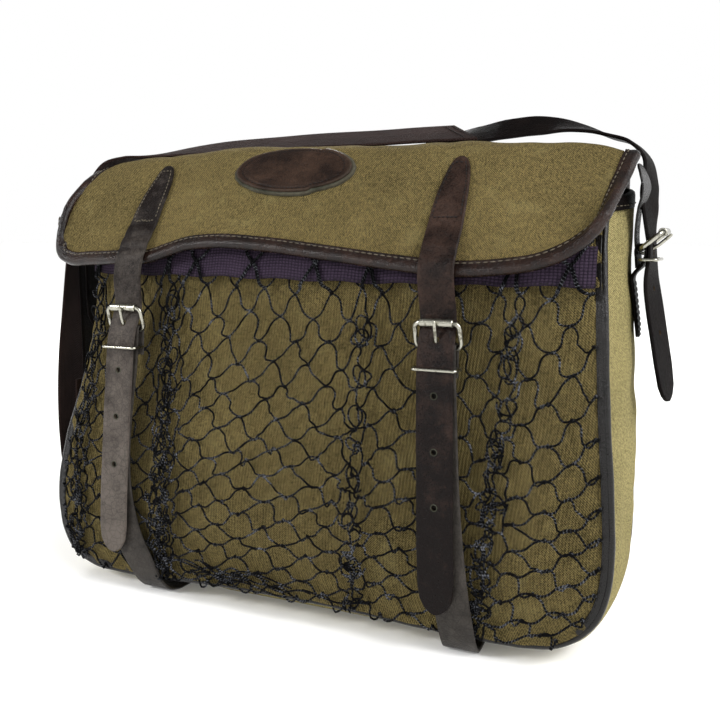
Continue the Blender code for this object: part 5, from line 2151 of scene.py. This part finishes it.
@dataclass
class ShoulderStrap(Assembly):
    """The webbing over the top with a leather strap at each end."""

    tape: float = 38.0
    hole: float = 1.7

    def build(self) -> None:
        """Makes the webbing and both leather straps."""
        self.webbing()
        self.billet("right", RIGHT_BILLET, (240, 212), (234.4, 17, 266), (0.96, -0.28, 0.1))
        self.billet("left", LEFT_BILLET, (), (-230.6, 11, 269), (1, 0, 0))

    def webbing(self) -> None:
        """The webbing, whose near end is cut on the slant and sewn down."""
        path = smooth(WEBBING_RUN, 420)
        run = length_along(path)
        spots, across = path[:, :3], unit(path[:, 3:])
        rings, _ = strap_rings(spots, across, self.tape, 1.2, 18)
        along = unit(np.gradient(spots, axis=0))
        place = np.sum((rings - spots[:, None]) * across[:, None], axis=2)
        slant = np.clip(1 - run / 60, 0, 1)
        rings = rings + along[:, None] * (place * 0.82 * slant[:, None])[..., None]
        sway = ripples(run, run * 0, 91, 60, 160) * 0.8
        rings[..., 2] += (sway * np.clip(run / 60, 0, 1) * np.clip((330 - run) / 60, 0, 1))[:, None]
        made = self.maker.grid("shoulder_webbing_tape", cap_rings(rings), wrap=True)
        self.maker.shade(self.maker.weld(made), 60)
        self.keep(made, "webbing", (Look.SHOULDER,), ("shoulder_webbing",))
        up = np.cross(along, across)
        up = np.where((up[:, 2] < 0)[:, None], -up, up)
        for k, inside in enumerate((3.0, 9.0)):
            part = np.linspace(-17, 17, 60)
            line = spots[0] + along[0] * (part * 0.82)[:, None] + across[0] * part[:, None]
            line = line + along[0] * inside + up[0] * 1.3
            self.stitch(f"webbing_thread_{k}", line, up[0], (3.6, 2.7, 0.8), Look.DARK, "webbing")

    def billet(self, name: str, rows: Sequence[Spot], heights: Spot, slot: Spot, axis: Spot) -> None:
        """One leather strap with its holes.

        Args:
            name: Left or right.
            rows: Its table.
            heights: Heights of the spare holes on its hanging end.
            slot: Where the tongue goes through.
            axis: Direction of the holes.
        """
        path = smooth(rows, 260)
        run = length_along(path)
        end = run[-1]
        stops = [0, end - 24, end - 10, end - 4, end - 1, end]
        width = np.interp(run, stops, [25, 25, 22, 15, 8, 4])
        wave = ripples(run, run * 0, 95, 20, 60) * 0.3
        spots = path[:, :3].copy()
        spots[:, 2] += wave * np.clip(run / 40, 0, 1) * (run < 150)
        made = self.maker.strap(f"billet_{name}_leather", spots, path[:, 3:], width, 1.25, 14)
        hanging = run > end * 0.55
        holes = [spots[np.argmin(abs(spots[:, 2] - z) + 500 * ~hanging)] for z in heights]
        tools = [self.maker.drill(p, axis, self.hole) for p in holes]
        tools += [self.maker.drill(array(slot) + (0, 0, dz), axis, 2.0, 9.0) for dz in (-2.5, 0, 2.5)]
        self.maker.shade(self.maker.cut(made, tools), 60)
        self.keep(made, "leather", (Look.BILLET,), (f"billet_{name}",))


# The net's highest knots, and how far it hangs from there
NET_TOP = 272.0
NET_DROP = 250.0


@dataclass
class Mesh:
    """The knotted net as a web of points: knots, the cords between them, and what holds them."""

    cells: int = 19
    steps: int = 6

    def place(self) -> None:
        """Lays the knots out, then strings the cords."""
        pick = np.random.default_rng(7)
        levels = [272.0, 256.5, 239.5, 223, 207, 191.5, 177, 163.5, 151, 139.5, 129]
        levels += [119.0, 109.5, 100, 91, 82, 73, 64.5, 56, 47.5, 39, 30.5, 22]
        self.levels = array(levels)
        wide, last = 2 * self.cells, len(levels) - 1
        self.knots: dict[tuple[int, int], int] = {}
        spots = []
        for k, z in enumerate(self.levels):
            line = self.columns(float(z), wide + 1)
            for i in range(wide + 1):
                if (i + k) % 2:
                    continue
                loose = 1.0 if 2 <= k < last and 0 < i < wide else 0.0
                x = line[i] + pick.normal(0, 1.5) * loose
                foot = self.foot(x)
                high = max(z + pick.normal(0, 1.7) * loose, foot)
                if k == last:
                    high = foot
                self.knots[(i, k)] = len(spots)
                spots.append((x, 0.0, high, k, i))
        self.base = array(spots)

    def foot(self, x: float) -> float:
        """Returns the height of the seam that the net is sewn into at x."""
        seam = inset(FRONT_SEAM, 4.0)[8:21]
        order = np.argsort(seam[:, 0])
        return float(np.interp(x, seam[order, 0], seam[order, 2]))

    def columns(self, z: float, count: int) -> Grid:
        """Where the columns of knots stand at a height.

        Args:
            z: The height.
            count: How many columns there are.

        Returns:
            Their x, from left to right.
        """
        open_width = float(np.interp(z, [20, 110, 150, 200, 272], [39, 36, 32, 27.5, 25]))
        heights = [25, 40, 60, 80, 110, 150, 200, 240, 272]
        ends_left = float(np.interp(z, heights, [-198, -209, -213, -213, -209, -202, -197, -194, -194]))
        ends_right = float(np.interp(z, heights, [191, 208, 215.5, 217, 216.5, 213, 210, 207, 205]))
        x = np.linspace(ends_left, ends_right, 2400)
        density = np.full(len(x), 1 / open_width)
        spare = self.cells - (ends_right - ends_left) / open_width
        for top, bottom, share, half, _ in NET_FOLDS:
            bell = np.exp(-(((x - fold_at(top, bottom, z)) / half) ** 2))
            density = density + max(spare, 0.0) * share * bell / (bell.sum() * (x[1] - x[0]))
        total = np.cumsum(density)
        total = (total - total[0]) / (total[-1] - total[0])
        return np.interp(np.linspace(0, 1, count), total, x)

    def crowd(self, x: Grid, z: Grid) -> Grid:
        """Returns how deep the net is heaped at a place, from 0 where it is open to 1 in a fold."""
        heap = np.zeros(np.broadcast(x, z).shape)
        for top, bottom, share, half, _ in NET_FOLDS:
            away = (x - fold_at(top, bottom, z)) / (half * 1.3)
            heap = heap + share * 3.0 * np.exp(-(away**2))
        return np.clip(heap, 0, 1)

    def before_band(self, i: Grid, k: Grid) -> Grid:
        """Returns whether a knot of column i and row k lies in front of the band."""
        return (k == 1) & ((i - 1) % 4 == 0)

    def string(self) -> None:
        """Strings every cord with spare length, and lists the pieces of cord between neighbouring points."""
        pick = np.random.default_rng(19)
        self.points = [tuple(p[:3]) for p in self.base]
        self.cords: list[list[int]] = []
        self.over: list[bool] = []
        ends, rest = [], []
        for (i, k), a in self.knots.items():
            for step in (-1, 1):
                b = self.knots.get((i + step, k + 1))
                if b is None:
                    continue
                p, q = self.base[a, :3], self.base[b, :3]
                gap = float(np.linalg.norm(q - p))
                taut = step < 0
                spare = 1.012 if taut else pick.uniform(1.03, 1.13)
                long = max(gap * spare, 15.5 if taut else 18.0) if k > 0 else gap * 1.01
                line = [a]
                sway = pick.normal(0, 1.0, 2)
                for s in range(1, self.steps):
                    t = s / self.steps
                    bulge = math.sin(math.pi * t) * (0.3 if taut else 1.4)
                    twist = math.sin(2 * math.pi * t) * (0.2 if taut else 0.9)
                    side = array((sway[0] * bulge + sway[1] * twist, 0, -bulge + sway[0] * twist))
                    line.append(len(self.points))
                    self.points.append(tuple(p + (q - p) * t + side))
                line.append(b)
                self.cords.append(line)
                front = self.before_band(i, k) or self.before_band(i + step, k + 1)
                self.over.append(bool(front))
                ends += list(zip(line[:-1], line[1:]))
                rest += [long / self.steps] * self.steps
        self.ends, self.rest = np.array(ends), array(rest)
        self.points = array(self.points)

    def settle(self, turns: int = 260) -> None:
        """Lets the net hang against the panel until its cords have their length.

        Args:
            turns: Rounds of the relaxation.
        """
        pick = np.random.default_rng(3)
        count, knots = len(self.points), len(self.base)
        row, column = self.base[:, 3], self.base[:, 4]
        held = np.zeros(count, bool)
        held[:knots] = (row <= 1) | (row == len(self.levels) - 1)
        held[:knots] |= (column <= 0) | (column >= 2 * self.cells)
        layer = np.zeros(count)
        front = np.zeros(count, bool)
        for line, over in zip(self.cords, self.over):
            if over:
                front[line[1:-1]] = True
        front[:knots] = self.before_band(column, row) | (row == 0)
        for line in self.cords:
            layer[line] = layer[line] * 0.3 + pick.uniform(0, 1)
        p = self.points
        x, z = p[:, 0], p[:, 2]
        home = net_y(x, z) - 4.6 * self.crowd(x, z) * (layer - 0.15)
        p[:, 1] = home
        share = np.bincount(self.ends.reshape(-1), minlength=count).astype(float)
        weight = np.where(held, 0.0, 1.0)
        for turn in range(turns):
            p[:, 2] -= 0.035 * weight * (1 - turn / turns)
            gap = p[self.ends[:, 1]] - p[self.ends[:, 0]]
            long = np.linalg.norm(gap, axis=1)
            w = weight[self.ends]
            pull = (long - self.rest) / np.maximum(long, 1e-6) / np.maximum(w.sum(axis=1), 1e-6)
            push = gap * pull[:, None] * 0.9
            move = np.zeros_like(p)
            np.add.at(move, self.ends[:, 0], push * w[:, :1])
            np.add.at(move, self.ends[:, 1], -push * w[:, 1:])
            p += move / np.maximum(share, 1)[:, None] * 1.6
            x, z = p[:, 0], p[:, 2]
            back = front_y(x, z) - 2.1
            home = net_y(x, z) - 4.6 * self.crowd(x, z) * (layer - 0.15)
            p[:, 1] += (home - p[:, 1]) * 0.12 * weight
            p[:, 1] = np.minimum(p[:, 1], back)
        x, z = p[:, 0], p[:, 2]
        on = front & (z > 240)
        p[:, 1] = np.where(on, net_y(x, z) - 5.2, p[:, 1])
        behind = ~front & (z > 240)
        p[:, 1] = np.where(behind, np.clip(p[:, 1], net_y(x, z) - 0.4, net_y(x, z) + 1.0), p[:, 1])
        limit = net_y(x, z) - 0.6
        p[:, 1] = np.where(under_strap(x) & (z < 240), np.maximum(p[:, 1], limit), p[:, 1])
        self.sway()

    def sway(self) -> None:
        """Bends every cord into the slight S that a stiff twine takes between its knots."""
        pick = np.random.default_rng(41)
        t = np.arange(1, self.steps) / self.steps
        for line, over in zip(self.cords, self.over):
            p, q = self.points[line[0]], self.points[line[-1]]
            along = unit(q - p)
            side = unit(np.cross(along, array((0, 1.0, 0))))
            right = 1.0 if q[0] > p[0] else -1.0
            wide = float(np.interp(p[0], [-60, 60, 140], [1.0, 1.15, 1.7]))
            bend = (0.2 if over else 1.0) * wide * (1.7 if right > 0 else 0.95) * pick.uniform(0.5, 1.5)
            belly = pick.normal(0, 0.55) * wide
            shape = bend * np.sin(2 * math.pi * t) + belly * np.sin(math.pi * t)
            self.points[line[1:-1]] += side * shape[:, None] * right

    def lines(self) -> list[Grid]:
        """Returns every cord as a smooth line, carried on through its knots along the diagonals."""
        after: dict[tuple[int, int], list[int]] = {}
        for line in self.cords:
            a, b = line[0], line[-1]
            step = 1 if self.base[b, 4] > self.base[a, 4] else -1
            after[(a, step)] = line
        reached = {(line[-1], key[1]) for key, line in after.items()}
        found = []
        for (a, step), line in after.items():
            if (a, step) in reached:
                continue
            whole = [a]
            at = a
            while (at, step) in after:
                whole += after[(at, step)][1:]
                at = after[(at, step)][-1]
            found.append(self.points[whole])
        return found


@dataclass
class NetPocket(Assembly):
    """The knotted net over the front panel and the woven band along its top."""

    twine: float = 0.74
    slack_twine: float = 0.72
    heap: int = 15

    def build(self) -> None:
        """Makes the band, then knots the net."""
        self.band()
        web = Mesh()
        web.place()
        web.string()
        web.settle()
        self.cords(web)
        self.tie(web)
        self.bundles(web)

    def band(self) -> None:
        """The band, a little wavy, with a row of sewing along each edge."""
        x = np.linspace(-196, 209, 260)
        drop = np.interp(x, [-196, -60, 60, 209], [1.5, 2.0, 0.0, 0.0])
        rows = []
        for z in np.linspace(243.5, 268.5, 20):
            tug = 0.9 * np.cos(2 * math.pi * (x + 150) / 47) * np.clip((250 - z) / 8, 0, 1)
            wave = ripples(x, x * 0 + z, 101, 20, 70) * 0.5
            rows.append(np.stack([x, net_y(x, z) - 2.5 + wave, z + drop + tug], axis=1))
        points = np.stack(rows, axis=1)
        made = self.maker.grid("net_band_tape", points)
        if made.data.polygons[len(made.data.polygons) // 2].normal.y > 0:
            made.data.flip_normals()
        self.maker.shade(self.maker.thicken(made, 1.7))
        self.keep(made, "band", (Look.BAND,), ("net_band",))
        for k in (1, 18):
            line = points[:, k] + array((0, -0.95, 0))
            self.stitch(f"band_thread_{k}", line, array((0, -1, 0)), (3.6, 2.6, 0.6), Look.DARK, "band")

    def cords(self, web: Mesh) -> None:
        """Twists all the cords of the net.

        Args:
            web: The net's points.
        """
        pick = np.random.default_rng(5)
        lines = []
        for line in web.lines():
            fine = smooth(line, max(8, int(length_along(line)[-1] / 2.2)))
            lines.append((fine, self.twine * pick.uniform(0.93, 1.07)))
        self.keep(rope("net_cords", lines, 7), "net", (Look.CORD,), ("net",))

    def tie(self, web: Mesh) -> None:
        """Ties a knot wherever two cords cross.

        Args:
            web: The net's points.
        """
        pick = np.random.default_rng(23)
        t = np.arange(7) * 2 * math.pi / 7
        loops = []
        for turn, size in ((0.3, 0.95), (-0.4, 0.8)):
            ring = np.stack([np.cos(t) * size, np.sin(t) * 0.55 + turn, np.sin(t) * size * 0.9], axis=1)
            loops.append((ring, 0.72, True))
        count = len(web.base)
        spin = pick.uniform(0, math.pi, count)
        tilt = pick.normal(0, 0.5, count)
        c, s, a, b = np.cos(spin), np.sin(spin), np.cos(tilt), np.sin(tilt)
        turns = np.empty((count, 3, 3))
        turns[:, :, 0] = np.stack([c, 0 * c, s], axis=1)
        turns[:, :, 1] = np.stack([-s * b, a, c * b], axis=1)
        turns[:, :, 2] = np.stack([-s * a, -b, c * a], axis=1)
        sizes = pick.uniform(0.85, 1.15, (count, 1)) * np.ones((1, 3))
        seed = rope("knot", loops, 4)
        made = self.maker.copies("net_knots", seed, web.points[:count], turns, sizes)
        self.keep(made, "net", (Look.CORD,))

    def bundles(self, web: Mesh) -> None:
        """Loose loops where the net is gathered, and the second strand of each pair over the band.

        Args:
            web: The net's points.
        """
        pick = np.random.default_rng(31)
        lines = []
        for line, over in zip(web.cords, web.over):
            if over:
                shift = array((1.5, -0.5, 0.4))
                lines.append((smooth(web.points[line] + shift, 14), 0.68))
        for top, bottom, _, half, loops in NET_FOLDS:
            for k in range(loops):
                z = 28 + 208 * ((k + pick.uniform(0, 1)) / loops)
                centre = fold_at(top, bottom, z) + pick.normal(0, half * 0.36)
                lines.append((self.ring(pick, centre, z), self.slack_twine))
        for _ in range(self.heap):
            lines.append((self.heaped(pick), self.slack_twine))
        self.keep(rope("net_gathers", lines, 6), "net", (Look.CORD,))

    @staticmethod
    def ring(pick: np.random.Generator, centre: float, z: float) -> Grid:
        """One small slack loop of a fold, with its two tails.

        Args:
            pick: The source of chance.
            centre: Its x.
            z: Its height.

        Returns:
            Its points.
        """
        long, fat = pick.uniform(5, 9), pick.uniform(3.5, 6.0)
        lean = pick.normal(0, 0.6)
        t = np.linspace(-0.9, 2 * math.pi + 0.6, 20)
        spread = 1 + 0.35 * np.clip(np.abs(t - math.pi) - 2.6, 0, 2)
        a, b = np.sin(t) * fat * spread, -np.cos(t) * long * spread
        x = centre + a * math.cos(lean) - b * math.sin(lean)
        high = np.maximum(z + a * math.sin(lean) + b * math.cos(lean), 20)
        y = net_y(x, high) - pick.uniform(0.0, 3.0) + 1.1 * np.sin(t * 0.5 + z)
        return smooth(np.stack([x, clear(x, high, y), high], axis=1), 34)

    @staticmethod
    def heaped(pick: np.random.Generator) -> Grid:
        """One slack cord of the heap along the lower left seam.

        Args:
            pick: The source of chance.

        Returns:
            Its points.
        """
        start, long = pick.uniform(-116, 20), pick.uniform(28, 60)
        x = start + np.linspace(0, long, 12)
        rise = pick.uniform(-3, 17) * (1 - np.clip((x + 116) / 190, 0, 1))
        wave = pick.uniform(1.5, 4.5) * np.sin(np.linspace(0, pick.uniform(4, 11), 12) + start)
        z = np.interp(x, [-120, -60, 0, 60], [20, 22, 24, 24]) + rise + wave
        y = net_y(x, z) - pick.uniform(0, 3.6)
        return smooth(np.stack([x, clear(x, z, y), z], axis=1), 40)


def fold_at(top: float, bottom: float, z: float | Grid) -> float | Grid:
    """Returns the x of a fold's middle at a height."""
    return top + (bottom - top) * ((NET_TOP - z) / NET_DROP)


def under_strap(x: Grid) -> Grid:
    """Returns whether places lie behind one of the two lower straps."""
    return np.exp(-(((x - 116) / 19) ** 4)) + np.exp(-(((x + 139) / 17) ** 4)) > 0.35


def clear(x: Grid, z: Grid, y: Grid) -> Grid:
    """Returns depths moved so that cords pass behind the straps and before the panel."""
    y = np.where(under_strap(x), np.maximum(y, net_y(x, z) - 0.6), y)
    return np.minimum(y, front_y(x, z) - 1.9)


def rope(name: str, lines: Sequence[tuple], sides: int) -> Made:
    """One mesh of many twisted cords with rounded ends.

    Args:
        name: The object's name.
        lines: For each cord its points, its radius and, if it is a loop, True.
        sides: Corners of its section.

    Returns:
        The object, mapped by length and by turn so that the strands can wind.
    """
    spots, faces, marks = [], [], []
    base = 0
    for path, radius, *loop in lines:
        rings = tube_rings(path, radius, sides, bool(loop))
        run = length_along(path) * MM
        n = len(rings)
        spots.append(rings.reshape(-1, 3))
        last = n if loop else n - 1
        total = run[-1] + float(np.linalg.norm(path[0] - path[-1])) * MM
        for r in range(last):
            q = (r + 1) % n
            u0, u1 = run[r], run[q] if q else total
            for s in range(sides):
                t = (s + 1) % sides
                near, far = base + r * sides, base + q * sides
                faces.append((near + s, near + t, far + t, far + s))
                v0, v1 = s / sides * 0.0054, (s + 1) / sides * 0.0054
                marks += [(u0, v0), (u0, v1), (u1, v1), (u1, v0)]
        base += n * sides
        if not loop:
            for ring, inner in ((0, 1), (n - 1, n - 2)):
                tip = path[ring] + unit(path[ring] - path[inner]) * radius * 0.6
                spots.append(tip[None])
                corner = base - n * sides + ring * sides
                for s in range(sides):
                    a, b = corner + s, corner + (s + 1) % sides
                    faces.append((b, a, base) if ring == 0 else (a, b, base + 1))
                    marks += [(run[ring], 0.0), (run[ring], 0.0009), (run[ring], 0.0004)]
            base += 2
    mesh = bpy.data.meshes.new(name)
    mesh.from_pydata((np.concatenate(spots) * MM).tolist(), [], faces)
    layer = mesh.uv_layers.new(name=UV)
    layer.data.foreach_set("uv", array(marks).reshape(-1))
    return linked(mesh)


@dataclass
class Studio:
    """A pale sweep of paper, soft light and the camera."""

    def build(self) -> None:
        """Sets everything up round the finished bag."""
        self.paper()
        self.light()
        self.camera()

    def paper(self) -> None:
        """A floor that runs out flat on every side."""
        bpy.ops.object.select_all(action="DESELECT")
        bpy.ops.mesh.primitive_plane_add(size=40.0, location=(0, 0, 0))
        floor = bpy.context.active_object
        floor.name = "paper_floor"
        dress(floor, Look.FLOOR)

    def light(self) -> None:
        """White walls under a dimmer ceiling, a broad sky lamp, and two that give the leather its shine."""
        world = bpy.data.worlds.new("studio")
        bpy.context.scene.world = world
        nodes = Nodes(world)
        _, _, height = nodes.split(nodes.node("ShaderNodeTexCoord", {}, {}, "Generated"))
        walls = nodes.node("ShaderNodeBackground", {}, {"Color": (1.0, 1.0, 1.0, 1.0), "Strength": 1.0})
        ceiling = nodes.node("ShaderNodeBackground", {}, {"Color": (1.0, 1.0, 1.0, 1.0), "Strength": 0.28})
        both = nodes.node("ShaderNodeMixShader", {}, {0: height.step(0.3, 0.55), 1: walls, 2: ceiling})
        nodes.node_out("ShaderNodeOutputWorld", both)
        bpy.ops.object.light_add(type="SUN", rotation=(math.radians(10), math.radians(50), 0))
        sky = bpy.context.active_object
        sky.name = "sky"
        sky.data.energy = 2.9
        sky.data.angle = math.radians(50)
        self.lamp("key", (1.1, -0.4, 0.9), 0.3, 7.0)
        self.lamp("fill", (-1.5, -1.7, 1.3), 0.5, 40.0)
        self.lamp("behind", (-0.9, 2.0, 1.2), 0.8, 32.0)

    def lamp(self, name: str, spot: tuple[float, float, float], size: float, power: float) -> None:
        """A square soft lamp that points at the bag.

        Args:
            name: Its name.
            spot: Where it stands, in metres.
            size: Its side in metres.
            power: Its power in watts.
        """
        bpy.ops.object.light_add(type="AREA", location=spot)
        lamp = bpy.context.active_object
        lamp.name = name
        lamp.data.size = size
        lamp.data.energy = power
        to = array((0, 0, 0.17)) - array(spot)
        flat = math.hypot(float(to[0]), float(to[1]))
        tilt = math.pi / 2 + math.atan2(float(to[2]), flat)
        lamp.rotation_euler = (tilt, 0, math.atan2(-float(to[0]), float(to[1])))

    def camera(self) -> None:
        """The camera of the photo: a little above the flap, from the bag's right."""
        bpy.ops.object.camera_add(location=(0.3106, -0.6062, 0.2771))
        camera = bpy.context.active_object
        camera.name = "photo_camera"
        camera.rotation_euler = (math.radians(90 - 3.5), 0, math.radians(24.926))
        camera.data.sensor_width = 36.0
        camera.data.lens = 45.0
        camera.data.shift_y = -0.1
        camera.data.dof.use_dof = False
        camera.data.clip_start = 0.01
        bpy.context.scene.camera = camera
        bpy.context.scene.view_settings.view_transform = "Standard"


@dataclass
class GameBag:
    """The whole bag."""

    maker: Maker = field(default_factory=Maker)
    form: FlapForm = field(default_factory=FlapForm)

    def build(self) -> list[Made]:
        """Builds every sub-assembly in order.

        Returns:
            All the pieces.
        """
        parts = [
            CanvasBody(self.maker),
            Flap(self.maker, form=self.form),
            NetPocket(self.maker),
            FrontStrap(self.maker, side=Side.RIGHT, form=self.form),
            FrontStrap(self.maker, side=Side.LEFT, form=self.form),
            OvalPatch(self.maker, form=self.form),
            SideFastenings(self.maker),
            ShoulderStrap(self.maker),
        ]
        for part in parts:
            log.info("building %s", type(part).__name__)
            part.build()
        return [piece for part in parts for piece in part.pieces]


def main() -> None:
    """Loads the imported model, dresses it and sets up the studio."""
    logging.basicConfig(level=logging.INFO, format="%(name)s: %(message)s")
    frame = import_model()
    log.info("%d solids come with the packed model", len(frame["nodes"]))
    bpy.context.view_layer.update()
    pieces = GameBag().build()
    Studio().build()


if __name__ == "__main__":
    main()
